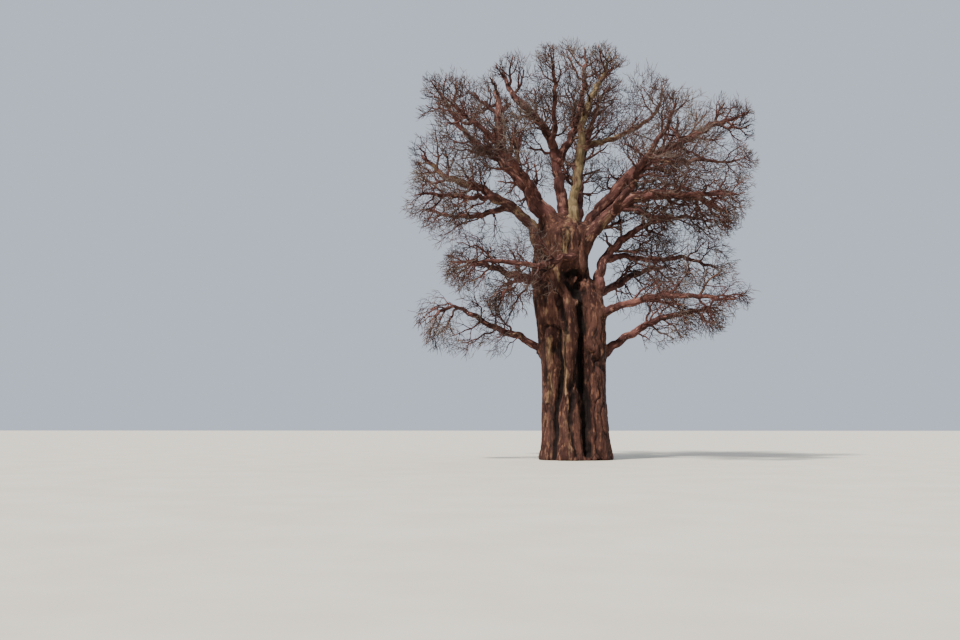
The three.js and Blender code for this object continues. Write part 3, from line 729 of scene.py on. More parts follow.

# %% [markdown]
# This bark is living skin: smooth and red-brown, worn to copper in patches, tan or olive where
# old bark hangs on, and nearly black in its furrows, with painted shade darkening its clefts and
# seams. An image would show one view only. So noise drives it, at sizes taken from real bark,
# and it runs along each limb by the grain, a coordinate that is stored on the mesh. Two more
# stored numbers say where the bark is pale and where painted shade darkens it.

# %% Material helpers


def colour(hex_code):
    """sRGB hex to linear: x / 12.92 up to 0.04045, else ((x + 0.055) / 1.055)^2.4."""
    parts = [value / 255 for value in bytes.fromhex(hex_code[1:])]
    return (*[x / 12.92 if x <= 0.04045 else ((x + 0.055) / 1.055) ** 2.4 for x in parts], 1)


def node(material, kind, links=(), **settings):
    """Adds a node. A setting is one of its properties or the value of an input, a link is an
    input and the output that feeds it, and either input may go by its name or its number."""
    tree = material.node_tree
    new = tree.nodes.new(f"ShaderNode{kind}")
    for name, value in settings.items():
        if name in new.bl_rna.properties:
            setattr(new, name, value)
        else:
            new.inputs[name.replace("_", " ")].default_value = value
    for name, source in dict(links).items():
        if isinstance(source, bpy.types.NodeSocket):
            tree.links.new(source, new.inputs[name])
        else:
            new.inputs[name].default_value = source
    return new


def new_material(name, **settings):
    """A material and its shader, whose sockets take the settings."""
    material = bpy.data.materials.new(name)
    material.use_nodes = True
    shader = material.node_tree.nodes["Principled BSDF"]
    for socket, value in settings.items():
        shader.inputs[socket.replace("_", " ")].default_value = value
    return material, shader


def feed(shader, socket, source):
    """Links a source to a socket of a material's shader."""
    shader.id_data.links.new(source, shader.inputs[socket])


print("#808080 is", round(colour("#808080")[0], 3), "in linear light")

# %% Layers and blotches


def laid_on(material, under, over, source, low, high, most=1.0):
    """One colour laid on another where a source is high. It comes in smoothly as the source
    goes from low to high, and covers the most it may from there on. The numbers are the inputs
    of Mix for colours."""
    cover = node(material, "MapRange", {"Value": source}, interpolation_type="SMOOTHSTEP",
                 From_Min=low, From_Max=high, To_Max=most)
    mix = node(material, "Mix", {6: under, 7: over, 0: cover.outputs["Result"]},
               data_type="RGBA")
    return mix.outputs[2]


def blotches(material, place, width_mm, stretch=1.0, detail=4.0):
    """Blotches of a real width, longer along the limb by the stretch."""
    scale = 1000 / width_mm
    spread = node(material, "VectorMath", {0: place, 1: (scale, scale, scale / stretch)},
                  operation="MULTIPLY")
    texture = node(material, "TexNoise", {"Vector": spread.outputs[0]}, Scale=1.0,
                   Detail=detail, Roughness=0.6)
    return texture.outputs["Fac"]


def rough_by(material, shader, source, low, high):
    """Roughness from low to high by a source."""
    spread = node(material, "MapRange", {"Value": source}, To_Min=low, To_Max=high)
    feed(shader, "Roughness", spread.outputs["Result"])


# %% Bark
BLOTCH = dict(width_mm=700, stretch=1.8)  # where the whole bark is darker or lighter
PATCH = dict(width_mm=160, stretch=2.5)  # where its top layer has worn off
STREAK = dict(width_mm=50, stretch=9, detail=5.0)  # furrows that run with the limb
PORE = dict(width_mm=30, detail=3.0)  # coarser than the real 5 mm, so that it shows
BODY_STEP = (0.42, 0.62)  # the values between which a layer comes in, and the most it covers
WORN_STEP = (0.52, 0.66, 0.8)
TAN_STEP = (0.35, 0.6)
OLD_STEP = (0.75, 1.25, 0.9)
FURROW_STEP = (0.52, 0.68, 0.75)
PAINTED_SHADE_STEP = (0.5, 1.2, 0.95)
STREAK_IN_SHADE = 0.6  # how much furrows break up the painted shade of a cleft or seam
PORE_RELIEF = 0.5  # of a furrow's
ROUGHNESS = (0.9, 0.68)  # on whole bark and on worn
DULL = 0.15  # specular level: dry bark is matt, and its folds stay dark


def bark(name, dark, body, worn, tan, olive, fold):
    """Living bark. Blotches go from dark to body, worn patches lie on them, tan and olive on
    those where the mesh is pale, furrows go towards the dark of a fold, and painted shade,
    where the mesh marks clefts and seams, goes towards the same dark."""
    material, shader = new_material(name, Specular_IOR_Level=DULL)
    grain = node(material, "Attribute", attribute_name="grain").outputs["Vector"]
    pale = node(material, "Attribute", attribute_name="pale").outputs["Fac"]
    hollow = node(material, "Attribute", attribute_name="hollow").outputs["Fac"]
    place = node(material, "TexCoord").outputs["Object"]
    blotch, pore = (blotches(material, place, **sizes) for sizes in (BLOTCH, PORE))
    patch, streak = (blotches(material, grain, **sizes) for sizes in (PATCH, STREAK))
    skin = laid_on(material, colour(dark), colour(body), blotch, *BODY_STEP)
    skin = laid_on(material, skin, colour(worn), patch, *WORN_STEP)
    old = laid_on(material, colour(olive), colour(tan), patch, *TAN_STEP)
    cover = node(material, "Math", {0: pale, 1: patch}, operation="ADD").outputs[0]
    skin = laid_on(material, skin, old, cover, *OLD_STEP)
    skin = laid_on(material, skin, colour(fold), streak, *FURROW_STEP)
    # painted shade: clefts and seams are laid towards the fold colour, broken up by furrows
    deep = node(material, "Math", {0: streak, 1: STREAK_IN_SHADE, 2: hollow},
                operation="MULTIPLY_ADD").outputs[0]
    skin = laid_on(material, skin, colour(fold), deep, *PAINTED_SHADE_STEP)
    feed(shader, "Base Color", skin)
    rough_by(material, shader, patch, *ROUGHNESS)
    height = node(material, "Math", {0: pore, 1: PORE_RELIEF, 2: streak},
                  operation="MULTIPLY_ADD").outputs[0]
    bump = node(material, "Bump", {"Height": height}, Strength=0.9, Distance=0.06)
    feed(shader, "Normal", bump.outputs["Normal"])
    return material


# The trunk's bark is the older: browner, with the darkest folds and painted shade in clefts.
trunk_bark = bark("living_trunk_bark", "#321c17", "#51342b", "#74503f", "#866c50", "#605038",
                  "#0d0706")
# The boughs' bark is younger, redder and worn more to copper.
bough_bark = bark("living_bough_bark", "#3b221f", "#603d37", "#8d6558", "#887456", "#685b41",
                  "#150b09")
print("barks:", trunk_bark.name, bough_bark.name)

# %% [markdown]
# Fine twigs are a pixel or two wide, so bark can't show on them. What the eye gets is that one
# spray is redder and the next greyer, as their age and light differ. So there are five skins,
# each of one plain colour, and all the twigs of a spray, which is what grows from one branch,
# get the same one by chance.

# %% Twig skins
TWIG_COLOURS = {"red": "#4c302a", "brown": "#4e3b35", "grey": "#5f524c", "dark": "#31231f",
                "pale": "#6b5e55"}
SCAR = dict(width_mm=80, detail=2.0)  # rough and smooth stretches between leaf scars
TWIG_ROUGHNESS = (0.95, 0.75)
twig_skins = []
for name, code in TWIG_COLOURS.items():
    material, shader = new_material(f"twig_skin_{name}", Base_Color=colour(code),
                                    Specular_IOR_Level=DULL)
    place = node(material, "TexCoord").outputs["Object"]
    rough_by(material, shader, blotches(material, place, **SCAR), *TWIG_ROUGHNESS)
    twig_skins.append(material)
print(len(twig_skins), "twig skins")

# %% [markdown]
# Every limb here is a tube carried along a path. A curve object with a bevel would do it, but
# its rings can't take bark. So the joints become a smooth curve, each of its points gets three
# directions, onward, across and along the ring, and rings of points are laid round it. The
# directions are handed on from joint to joint, so a tube never twists about its own middle.
# One set of functions serves a single bough and thousands of twigs at once.

# %% Paths
BOW_DRAW = 20  # the draws from this number on are for bows


def smoothed(joints, cuts):
    """Curves through sets of joints, each stretch cut into even steps. A stretch is the cubic
    whose slope at a joint is half the way from the joint before to the one after."""
    first, last = 2 * joints[:, :1] - joints[:, 1:2], 2 * joints[:, -1:] - joints[:, -2:-1]
    ends = np.concatenate([first, joints, last], axis=1)[:, :, None]
    stretches = joints.shape[1] - 1
    a, b, c, d = (ends[:, shift:shift + stretches] for shift in range(4))
    t = (np.arange(cuts) / cuts)[:, None]
    points = 0.5 * (2 * b + (c - a) * t + (2 * a - 5 * b + 4 * c - d) * t**2
                    + (3 * b - a - 3 * c + d) * t**3)
    return np.concatenate([points.reshape(len(joints), -1, 3), joints[:, -1:]], axis=1)


def between(values, cuts):
    """Values at the same steps, straight from joint to joint."""
    t = (np.arange(cuts) / cuts)[:, None]
    steps = values[:, :-1, None] * (1 - t) + values[:, 1:, None] * t
    flat = steps.reshape(len(values), -1, values.shape[2])
    return np.concatenate([flat, values[:, -1:]], axis=1)


def bows_of(joints, keys, share):
    """An offset for each stretch: a share of its length, in a direction drawn by chance."""
    count = joints.shape[1] - 1
    draws = [[chance(*keys, stretch, BOW_DRAW + axis) - 0.5 for axis in range(3)]
             for stretch in range(count)]
    steps = np.linalg.norm(np.diff(joints, axis=1), axis=2)[..., None]
    draws = np.moveaxis(np.array(draws).reshape(count, 3, -1), 2, 0)
    return 2 * share * steps * draws


def paths_through(joints, radii, sideways, cuts, bows):
    """Smooth paths with directions. Each stretch is bowed by its own offset x sin^2(pi x share)
    so that it is crooked between joints and joins on at them. Across starts as sideways x
    onward. At each joint it is the one before, less its part along the new direction. Along is
    onward x across."""
    onward = unit(np.gradient(joints, axis=1))
    across = [unit(np.cross(sideways, onward[:, 0]))]
    for joint in range(1, joints.shape[1]):
        new = onward[:, joint]
        across.append(unit(across[-1] - (across[-1] * new).sum(axis=1, keepdims=True) * new))
    bulge = np.sin(np.pi * np.arange(cuts) / cuts)[:, None] ** 2 * bows[:, :, None]
    points = smoothed(joints, cuts)
    points[:, :-1] += bulge.reshape(len(joints), -1, 3)
    across = between(np.stack(across, axis=1), cuts)
    tangents = unit(np.gradient(points, axis=1))
    across = unit(across - (across * tangents).sum(axis=2, keepdims=True) * tangents)
    steps = np.linalg.norm(np.diff(points, axis=1, prepend=points[:, :1]), axis=2)
    return dict(points=points, radii=between(radii[..., None], cuts)[..., 0], tangents=tangents,
                across=across, along=np.cross(tangents, across), run=np.cumsum(steps, axis=1))


def stretch_of(path, first, last):
    """The rows of a path from first up to last."""
    return {name: values[:, first:last] for name, values in path.items()}


# %% Paths of the boughs
BOUGH_CUTS = 12  # steps to a stretch, about 60 mm each
BOUGH_BOW = 0.13  # the most that a stretch bows along each axis, as a share of its length
TIP_RADIUS = 0.02  # of the stem that ends a bough
paths = {}
for index, (name, limb) in enumerate(limbs.items()):
    stem = grown[name][0]
    joints = np.vstack([limb["points"], stem["points"][0, 1:]])
    radii = np.concatenate([limb["radii"], stem["radii"][0, 1:-1], [TIP_RADIUS]])
    bows = bows_of(joints[None], (index, 1), BOUGH_BOW)
    paths[name] = paths_through(joints[None], radii[None], limb["sideways"][None], BOUGH_CUTS,
                                bows)
print("longest bough with its stem:", max(path["run"][0, -1] for path in paths.values()).round(1))

# %% Tubes


def ring_grain(path, sides):
    """Where each point of the rings lies by its limb: radius x cos(angle) across, radius x
    sin(angle) along the ring, and the run from the seat."""
    angle = np.arange(sides) * 2 * np.pi / sides
    radius = path["radii"][..., None]
    run = np.broadcast_to(path["run"][..., None], radius.shape[:2] + (sides,))
    return np.stack([radius * np.cos(angle), radius * np.sin(angle), run], axis=-1)


def rings_round(path, grain, relief=0):
    """The rings themselves: path point + grain across + grain along, pushed outwards by the
    relief."""
    push = 1 + relief / path["radii"][..., None]
    across = (grain[..., 0] * push)[..., None] * path["across"][:, :, None]
    along = (grain[..., 1] * push)[..., None] * path["along"][:, :, None]
    return path["points"][:, :, None] + across + along


def closed_tubes(rings, tips):
    """Points and triangles, both kept tube by tube, of tubes given as rings (tube, row, side,
    axis). A fan within the first ring closes the start, and a fan round the tip the end."""
    count, rows, sides = rings.shape[:3]
    points = np.concatenate([rings.reshape(count, -1, 3), tips[:, None]], axis=1)
    here = np.arange(rows * sides).reshape(rows, sides)
    onward = np.roll(here, -1, axis=1)
    low, low_next, high, high_next = here[:-1], onward[:-1], here[1:], onward[1:]
    middle = np.arange(1, sides - 1)
    faces = np.concatenate([
        np.stack([low, low_next, high_next], axis=-1).reshape(-1, 3),
        np.stack([low, high_next, high], axis=-1).reshape(-1, 3),
        np.stack([np.zeros_like(middle), middle + 1, middle], axis=-1),
        np.stack([here[-1], onward[-1], np.full(sides, rows * sides)], axis=-1)])
    return points, faces + np.arange(count)[:, None, None] * points.shape[1]


def joined(parts):
    """One list of points and one of triangles out of several: each set's indices are raised by
    the number of points before it."""
    starts = np.cumsum([0] + [points.size // 3 for points, _ in parts])
    return (np.vstack([points.reshape(-1, 3) for points, _ in parts]),
            np.vstack([faces.reshape(-1, 3) + start for (_, faces), start in zip(parts, starts)]))


sample = closed_tubes(np.zeros((1, 5, 8, 3)), np.zeros((1, 3)))
print("a tube of five rings of eight takes", sample[1].shape[1], "triangles")

# %% Meshes


def put(name, data):
    """An object in the scene that shows a mesh, a lamp or a camera."""
    new = bpy.data.objects.new(name, data)
    bpy.context.scene.collection.objects.link(new)
    return new


def as_row(values, kind=np.float32):
    """An array as the one long row that Blender takes."""
    return np.ascontiguousarray(values, kind).ravel()


def mesh_piece(name, points, faces):
    """A mesh object from arrays of points and triangles, shaded smooth."""
    mesh = bpy.data.meshes.new(name)
    mesh.vertices.add(len(points))
    mesh.vertices.foreach_set("co", as_row(points))
    mesh.loops.add(faces.size)
    mesh.loops.foreach_set("vertex_index", as_row(faces, np.int32))
    mesh.polygons.add(len(faces))
    mesh.polygons.foreach_set("loop_start", np.arange(0, faces.size, 3, dtype=np.int32))
    mesh.update(calc_edges=True)
    mesh.shade_smooth()
    return put(name, mesh)


def paint(mesh, **layers):
    """Stores a number or a vector for each point of a mesh, for its material to read."""
    for name, values in layers.items():
        vector = values.ndim == 2
        layer = mesh.attributes.new(name, "FLOAT_VECTOR" if vector else "FLOAT", "POINT")
        layer.data.foreach_set("vector" if vector else "value", as_row(values))


def read(collection, field, width, kind=np.float32):
    """The same field of every point, edge or face of a mesh, a row for each."""
    values = np.zeros(len(collection) * width, kind)
    collection.foreach_get(field, values)
    return values.reshape(-1, width)


def dress(piece, nodes=()):
    """Says what a piece rides on and which solids it stands for, which are hidden."""
    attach(piece, "root")
    if nodes:
        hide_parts(*nodes)
    print(piece.name, len(piece.data.polygons), "faces for", len(nodes), "solids")


# %% [markdown]
# Where a bough leaves the trunk the wood of the two has grown into one, with no edge between
# them. Overlapping tubes would show a hard crease all round. A stump of each bough, its first
# stretch, is therefore made one body with the trunk by a voxel remesh, which keeps only the
# outside of all that overlaps. The rest of the bough grows out of that stump as its own tube.

# %% Fuse the stumps into the trunk
STUMP_PROUD = 0.9  # metres of stump beyond the trunk's side
STUMP_START, STUMP_LOSS = 1.04, 0.3  # its share of the bough's radius, and what it loses
STUMP_SIDES = 24
VOXEL = 0.05
TINY = 1e-9  # stands in for no distance at all


def beyond_trunk(points):
    """How many metres outside the trunk's smooth width points lie, roughly: their distance
    from its middle less the ellipse's radius on their heading. Above the fork it's the height."""
    middle, half_width, half_depth = trunk_widths(points[:, 2])
    x, y = points[:, 0] - middle, points[:, 1]
    out = np.hypot(x, y)
    edge = out / np.maximum(np.hypot(x / half_width, y / half_depth), TINY)
    return np.maximum(out - edge, points[:, 2] - TRUNK_RINGS[-1, 0])


first_shown, stumps = {}, []  # the row in which each bough leaves the trunk, and its stump
for name in TRUNK_BOUGHS:
    path = paths[name]
    first_shown[name] = int(np.argmax(beyond_trunk(path["points"][0]) > 0))
    shown = path["run"][0] - path["run"][0, first_shown[name]]
    rows = int((shown < STUMP_PROUD).sum())
    stump = stretch_of(path, 0, rows)
    loss = np.clip(shown[:rows] / STUMP_PROUD, 0, 1) ** 2
    stump["radii"] = stump["radii"] * (STUMP_START - STUMP_LOSS * loss)
    rings = rings_round(stump, ring_grain(stump, STUMP_SIDES))
    stumps.append(closed_tubes(rings, stump["points"][:, -1]))
trunk_tube = closed_tubes(skin[None], skin[-1].mean(axis=0)[None])
raw = mesh_piece("trunk_raw", *joined([trunk_tube] + stumps))
remesh = raw.modifiers.new("fuse", "REMESH")
remesh.mode = "VOXEL"
remesh.voxel_size = VOXEL
fused = bpy.data.meshes.new_from_object(raw.evaluated_get(bpy.context.evaluated_depsgraph_get()))
bpy.data.objects.remove(raw)
print("fused trunk:", len(fused.vertices), "points,", len(fused.polygons), "quads")

# %% [markdown]
# The remesh leaves steps as fine as a voxel and a crease at each crotch. Both go when each
# point moves to the average of its neighbours many times, a little everywhere and a lot where
# two limbs meet. To tell where that is, and later to lay bark along each limb, every point is
# set against every limb near it.

# %% Smooth the crotches
CROTCH_REACH = 0.25  # metres over which a crotch dies away
FORK = (9.6, 10.6)  # heights between which the whole trunk's top softens
GRAIN_BLEND = 0.08  # metres over which one limb's relief gives way to the next
DEEPEST = -0.2  # no point counts as further inside the trunk than this
STUMP_ROWS = 75  # no stump has more rows of its path than this
SMOOTH_LEAST, SMOOTH_MORE, SMOOTH_TIMES = 0.02, 0.63, 60  # everywhere, at a crotch, rounds


def neighbour_average(points, edges, weight, times):
    """Moves each point by weight x (the mean of its neighbours - itself), several times."""
    count = np.bincount(edges.ravel(), minlength=len(points))[:, None]
    for _ in range(times):
        total = np.stack([
            np.bincount(edges[:, 0], points[edges[:, 1], axis], len(points))
            + np.bincount(edges[:, 1], points[edges[:, 0], axis], len(points))
            for axis in range(3)], axis=1)
        points = points + weight[:, None] * (total / count - points)
    return points


def grain_of(points, path):
    """Where points lie by a limb: metres outside its skin, and their grain as the rings have
    it, by the nearest point of its path."""
    nearest = np.zeros(len(points), int)
    best = np.full(len(points), np.inf)
    for row, middle in enumerate(path["points"][0]):
        gap = ((points - middle) ** 2).sum(axis=1)
        closer = gap < best
        nearest[closer] = row
        best[closer] = gap[closer]
    offset = points - path["points"][0, nearest]
    grain = np.stack([(offset * path[axis][0, nearest]).sum(axis=1)
                      for axis in ("across", "along", "tangents")], axis=1)
    grain[:, 2] += path["run"][0, nearest]
    return np.sqrt(best) - path["radii"][0, nearest], grain


points = read(fused.vertices, "co", 3).astype(float)
edges = read(fused.edges, "vertices", 2, np.int32)
grains = {name: grain_of(points, stretch_of(paths[name], 0, STUMP_ROWS)) for name in TRUNK_BOUGHS}
gaps = [np.maximum(beyond_trunk(points), DEEPEST)] + [gap for gap, _ in grains.values()]
second = np.sort(np.stack(gaps), axis=0)[1]
crotch = np.exp(-(np.maximum(second, 0) / CROTCH_REACH) ** 2)
fork = np.clip((points[:, 2] - FORK[0]) / (FORK[1] - FORK[0]), 0, 1) * (gaps[0] < GRAIN_BLEND)
weight = SMOOTH_LEAST + SMOOTH_MORE * np.maximum(crotch, fork)
points = neighbour_average(points, edges, weight, SMOOTH_TIMES)
print(f"share of points at a crotch {(crotch > 0.5).mean():.2f}")

# %% [markdown]
# The bark's own relief is laid on along the normals: lumps as wide as the limb, ribs that run
# along it, and wrinkles that ring it where the limb bulges. The old trunk has long seams too.
# All of it follows the grain, so trunk and boughs share one bark and meet without a step.

# %% Bark relief
LUMPS, LUMP_SIZE = 0.12, np.array([1.2, 1.2, 1.8])  # both as shares of the limb's radius
RIBS, RIB_SIZE = (0.008, 0.022), np.array([0.18, 0.18, 1.5])  # metres and share, then metres
WRINKLES, WRINKLE_SIZE = 0.03, np.array([0.5, 0.5, 0.16])  # metres
WRINKLE_POWER = 6  # the higher, the narrower
FULL_WRINKLES = 0.25  # radius from which wrinkles have their full depth
TRUNK_SHARE = 0.4  # the trunk's lumps and wrinkles are this much of a bough's
SEAMS, SEAM_SIZE, SEAM_POWER = 0.09, np.array([0.42, 0.42, 4.2]), 9  # metres, metres, steepness
SEAM_BEND, BEND_SIZE = 0.2 * np.array([1, 1, 0]), 0.9  # metres, sideways only
SEAM_SHADE = 0.8  # how dark the painted shade of the deepest seam is
TRUNK_SEED, PALE_SEED, SEAM_SEED, BEND_SEED, WEAR_SEED, BOUGH_SEED = 31, 61, 71, 76, 81, 100
RIB_SEED, WRINKLE_SEED = 10, 20  # added to a limb's own
PALE_SIZE, WEAR_SIZE = np.array([0.2, 0.2, 0.6]), np.array([0.14, 0.14, 0.6])
PALE_BOUGHS = {"trunk": 0.08, "centre": 0.95, "centre_right": 0.5, "right_arm": 0.25,
               "left_arm": 0.3}  # how pale a limb is, from 0 to 1
PALE_LEAST = 0.05  # and how pale any other is
PALE_SPREAD, PALE_BASE = 0.45, 0.3  # noise adds or takes the first x (the second + the share)
WEAR = (0.65, 0.45)  # how much of the strokes' tan is left, and what noise adds or takes
BOUGH_BARK = {name: (float(np.mean(spec["radius"])), BOUGH_SEED + index)
              for index, (name, spec) in enumerate(BOUGHS.items())}


def bark_relief(grain, radius, seed, share=1):
    """Metres that the bark stands out. Lumps are noise a little wider than the radius. Ribs are
    noise drawn out eight times along the limb. Wrinkles are noise drawn out round it, and only
    its folds count, the places where it passes zero: 1 - |noise| to the sixth power."""
    lumps = LUMPS * radius * fractal(grain, radius * LUMP_SIZE, seed)
    ribs = (RIBS[0] + RIBS[1] * radius) * fractal(grain, RIB_SIZE, seed + RIB_SEED, 2)
    folds = (1 - np.abs(mottle(grain / WRINKLE_SIZE, seed + WRINKLE_SEED))) ** WRINKLE_POWER
    return ribs + share * (lumps - WRINKLES * min(1, radius / FULL_WRINKLES) * folds)


def seams_at(points):
    """How deep in a seam of the trunk points are, from 0 to 1: noise drawn out ten times up the
    trunk, of which only the places near zero count, as 1 - |noise| to the ninth power."""
    bend = SEAM_BEND * fractal(points, BEND_SIZE, BEND_SEED)[:, None]
    return (1 - np.abs(mottle((points + bend) / SEAM_SIZE, SEAM_SEED))) ** SEAM_POWER


def paleness_of(name, grain):
    """How pale a limb's bark is: its own share, in blotches longer than they are wide."""
    share = PALE_BOUGHS.get(name, PALE_LEAST)
    blotches = fractal(grain, PALE_SIZE, PALE_SEED)
    return np.clip(share + PALE_SPREAD * blotches * (PALE_BASE + share), 0, 1)


# %% Bark on the trunk
nearest_gap = np.min(gaps, axis=0)
shares = [np.exp(-np.minimum(gap - nearest_gap, 1) / GRAIN_BLEND) for gap in gaps]
shares = np.stack(shares) / np.sum(shares, axis=0)
heading = np.degrees(np.arctan2(points[:, 1], points[:, 0] - trunk_widths(points[:, 2])[0]))
_, cleft_shade, tan = strokes_at(heading, points[:, 2])
tan *= WEAR[0] + WEAR[1] * fractal(points, WEAR_SIZE, WEAR_SEED)
seams = seams_at(points)
relief = (bark_relief(points, SKIN_RADIUS, TRUNK_SEED, TRUNK_SHARE) - SEAMS * seams) * shares[0]
pale = np.maximum(tan, paleness_of("trunk", points)) * shares[0]
# painted shade: the trunk is darkened in its clefts and seams, for its material to read
hollow = np.maximum(cleft_shade, SEAM_SHADE * seams) * shares[0]
grain = points.copy()
for share, (name, (gap, own_grain)) in zip(shares[1:], grains.items()):
    relief += bark_relief(own_grain, *BOUGH_BARK[name]) * share
    pale += paleness_of(name, own_grain) * share
    own = gap <= nearest_gap
    grain[own] = own_grain[own]

fused.vertices.foreach_set("co", as_row(points))
fused.update()
points = points + read(fused.vertices, "normal", 3) * relief[:, None]
points[:, 2] = np.maximum(points[:, 2], 0)
fused.vertices.foreach_set("co", as_row(points))
fused.update()
fused.shade_smooth()
paint(fused, grain=grain, pale=pale, hollow=hollow)
fused.name = "trunk_bark"
fused.materials.append(trunk_bark)
dress(put("trunk_bark", fused), ["trunk"])
print(f"trunk relief {relief.min() * 1000:.0f} to {relief.max() * 1000:.0f} mm")

# %% [markdown]
# The boughs carry the same bark as the trunk. Each is one tube from inside its stump, or from
# the middle of the limb that carries it, on through the mass of twigs to the tip of its stem,
# so it tapers without a break. Its relief reads the same grain and the same draws as its stump
# does, so the two surfaces meet.

# %% Boughs
STUMP_LAP = 4  # rows of a bough that lie inside its stump
MOST_RELIEF = 0.3  # as a share of the radius
MAIN_SIDES, SIDE_SIDES = 40, 24
MAIN_COUNT = 10  # the first boughs in the table are the thickest
PALE_ONE = "centre"


def bough_tube(name, sides):
    """Points, triangles, grain and paleness of one bough: rings round its path, pushed out by
    the bark's relief."""
    path = stretch_of(paths[name], max(0, first_shown.get(name, 0) - STUMP_LAP), None)
    grain = ring_grain(path, sides)
    listed = grain.reshape(-1, 3)
    relief = bark_relief(listed, *BOUGH_BARK[name]).reshape(grain.shape[:3])
    most = MOST_RELIEF * path["radii"][..., None]
    rings = rings_round(path, grain, np.clip(relief, -most, most))
    points, faces = closed_tubes(rings, path["points"][:, -1])
    return points, faces, np.vstack([listed, listed[-1]]), np.append(paleness_of(name, listed), 0)


def bough_piece(title, names, sides):
    """Several boughs as one mesh, which stands for their solids."""
    tubes = [bough_tube(name, sides) for name in names]
    piece = mesh_piece(title, *joined([tube[:2] for tube in tubes]))
    paint(piece.data, grain=np.vstack([tube[2] for tube in tubes]),
          pale=np.concatenate([tube[3] for tube in tubes]),
          hollow=np.zeros(len(piece.data.vertices)))
    piece.data.materials.append(bough_bark)
    dress(piece, [f"bough_{name}" for name in names])


main_names = [name for name in list(BOUGHS)[:MAIN_COUNT] if name != PALE_ONE]
side_names = [name for name in BOUGHS if name not in main_names + [PALE_ONE]]
bough_piece("main_boughs", main_names, MAIN_SIDES)
bough_piece("pale_bough", [PALE_ONE], MAIN_SIDES)
bough_piece("side_boughs", side_names, SIDE_SIDES)

# %% [markdown]
# The branches are the first two levels of side twigs, thick enough to show their bark. The
# fine twigs are the rest. Both take their axes from the growth above. Fine twigs keep few
# sides, because there are so many, and end in a point. A piece may hold 200,000 triangles at
# most, so the fine twigs are dealt out by heading into pieces like the slices of a cake.

# %% Branches and fine twigs
TUBES = {1: (5, 8), 2: (3, 6), 3: (2, 3), 4: (1, 3), 5: (1, 3)}  # cuts and sides of each level
TWIG_BOW = 0.16  # as a bough's bow
SPRAY_DEPTH = 2  # a spray is all that grows from one twig of this level
SPRAY_DRAW = 9
BRANCH_PALE = (0.05, 0.35)  # the least, and what chance adds
BRANCHES, FINE = (1, 2), (3, 4, 5)  # levels
PIECE_LIMIT = 190000  # triangles


def twig_tubes(mass, levels, depth):
    """Points, triangles and grain of one level of a mass, and a draw for each twig, the same
    all over a spray. The last ring is left out, and its middle is the tip."""
    cuts, sides = TUBES[depth]
    twigs = levels[depth - mass["first"]]
    bows = bows_of(twigs["points"], (mass["index"], twigs["key"]), TWIG_BOW)
    path = paths_through(twigs["points"], np.maximum(twigs["radii"], LEAST_RADIUS),
                         helper_for(twigs["directions"][:, 0]), cuts, bows)
    tips = path["points"][:, -1]
    path = stretch_of(path, 0, -1)
    grain = ring_grain(path, sides)
    points, faces = closed_tubes(rings_round(path, grain), tips)
    grain = np.concatenate([grain.reshape(len(tips), -1, 3), grain[:, -1, :1]], axis=1)
    spray = twigs["key"] // np.uint64(KEY_STEP ** max(0, depth - SPRAY_DEPTH))
    return points, faces, grain, chance(mass["index"], spray, SPRAY_DRAW)


def twig_piece(title, growths, depths):
    """The twigs of some masses at some levels as one mesh, and the parts it was made from."""
    parts = [twig_tubes(*growth, depth) for growth in growths for depth in depths]
    return mesh_piece(title, *joined([part[:2] for part in parts])), parts


def heading_of(growth):
    """The heading, from the trunk, of the middle of a growth's first level."""
    x, y = growth[1][0]["points"].mean(axis=(0, 1))[:2]
    return math.atan2(y, x)


def fine_triangles(mass, levels):
    """How many triangles a growth's fine twigs take: on each tube two for each side of each
    row, less two at its start."""
    return sum(len(levels[depth - mass["first"]]["key"])
               * (2 * STRETCHES[depth] * TUBES[depth][0] * TUBES[depth][1] - 2) for depth in FINE)


# %% Pieces of twigs
growths = sorted([(mass, grown[mass["name"]]) for mass in masses] + shoots, key=heading_of)
for depth in BRANCHES:
    piece, parts = twig_piece(f"branches_{depth}", growths, (depth,))
    tone = np.concatenate([np.repeat(draw, points.shape[1]) for points, _, _, draw in parts])
    paint(piece.data, grain=np.vstack([grain.reshape(-1, 3) for _, _, grain, _ in parts]),
          pale=BRANCH_PALE[0] + BRANCH_PALE[1] * tone, hollow=np.zeros(len(tone)))
    piece.data.materials.append(bough_bark)
    dress(piece)

slices, load = [[]], 0
for growth in growths:
    load += fine_triangles(*growth)
    if load > PIECE_LIMIT:
        slices.append([])
        load = fine_triangles(*growth)
    slices[-1].append(growth)
for number, members in enumerate(slices, 1):
    piece, parts = twig_piece(f"fine_twigs_{number}", members, FINE)
    dealt = [np.repeat(draw * len(twig_skins), faces.shape[1]) for _, faces, _, draw in parts]
    for skin_material in twig_skins:
        piece.data.materials.append(skin_material)
    piece.data.polygons.foreach_set("material_index", np.concatenate(dealt).astype(np.int32))
    dress(piece, [f"twigs_{mass['name']}" for mass, _ in members if "name" in mass])

# %% [markdown]
# The tree stands on a plain pale floor under one soft sun, high on the left in front, as the
# light falls in the photograph. A pale sky fills the shadows, and a weak, very soft light from
# behind keeps the back readable. The camera is 45 m off, at the height of a standing eye, and
# looks up a little.

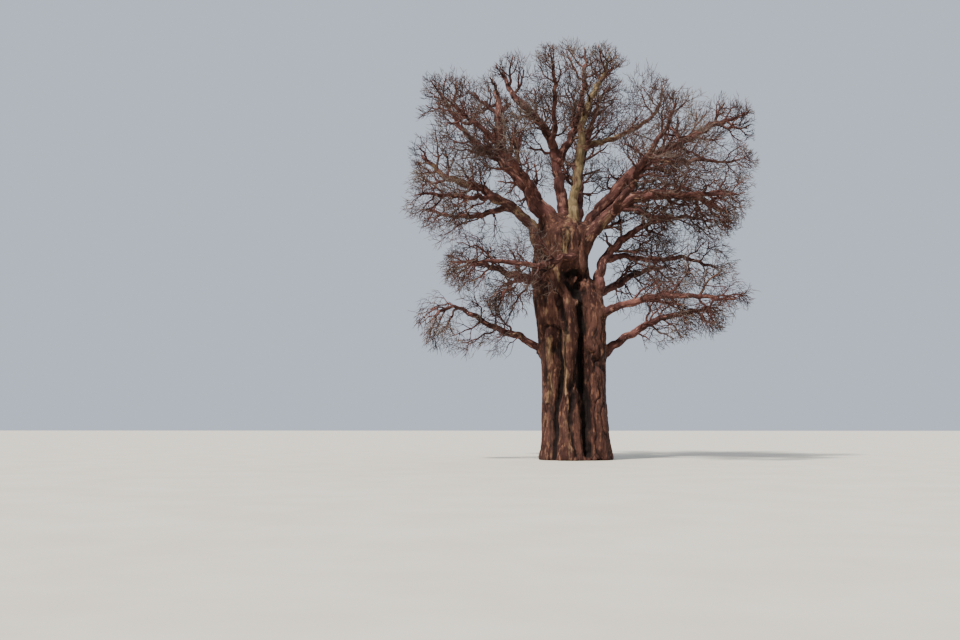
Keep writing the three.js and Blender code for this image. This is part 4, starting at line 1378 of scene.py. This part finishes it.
# %% Floor and light
FLOOR_REACH = 400  # metres to each side
CAST = dict(width_mm=2000)  # broad, faint unevenness of the floor's colour
CAST_STEP = (0.3, 0.7)
SKY_COLOUR, SKY_STRENGTH = "#cfdaea", 0.95
corners = np.array([(-1, -1, 0), (1, -1, 0), (1, 1, 0), (-1, 1, 0)]) * FLOOR_REACH
floor = mesh_piece("floor", corners, np.array([(0, 1, 2), (0, 2, 3)]))
# Trowelled plaster is matt, and a little uneven in its colour.
plaster, shader = new_material("pale_plaster_floor", Roughness=0.9)
place = node(plaster, "TexCoord").outputs["Object"]
cast = blotches(plaster, place, **CAST)
skim = laid_on(plaster, colour("#b9b4a8"), colour("#b2ac9f"), cast, *CAST_STEP)
feed(shader, "Base Color", skim)
floor.data.materials.append(plaster)

world = bpy.data.worlds.new("pale_sky")
world.use_nodes = True
sky = world.node_tree.nodes["Background"]
sky.inputs["Color"].default_value = colour(SKY_COLOUR)
sky.inputs["Strength"].default_value = SKY_STRENGTH
bpy.context.scene.world = world


def sun(name, energy, softness, tint, tilt, turn):
    """A sun lamp. It shines straight down, is tilted, and is then turned about the vertical."""
    lamp = put(name, bpy.data.lights.new(name, "SUN"))
    lamp.data.energy = energy
    lamp.data.angle = math.radians(softness)
    lamp.data.color = tint
    lamp.rotation_euler = (math.radians(tilt), 0, math.radians(turn))


sun("sun", energy=8.8, softness=5, tint=(1, 0.95, 0.88), tilt=38, turn=-35)
sun("fill", energy=0.9, softness=60, tint=(0.95, 0.97, 1), tilt=55, turn=160)
print(len(bpy.data.lights), "lights")

# %% Camera
PHOTO_WIDTH, FOCAL_PIXELS = 960, 942  # the focal length that fits the photograph's view
SENSOR_MM = 36
EYE = (0, -45, 1.5)  # metres
LOOK_UP, LOOK_LEFT = 6.51, 5.78  # degrees
SIGHT = 5 * FLOOR_REACH  # how far the camera sees
camera = put("camera", bpy.data.cameras.new("camera"))
camera.data.sensor_width = SENSOR_MM
camera.data.lens = FOCAL_PIXELS / PHOTO_WIDTH * SENSOR_MM
camera.location = EYE
camera.rotation_euler = (math.radians(90 + LOOK_UP), 0, math.radians(LOOK_LEFT))
camera.data.clip_end = SIGHT
bpy.context.scene.camera = camera
print("camera lens", round(camera.data.lens, 2), "mm")
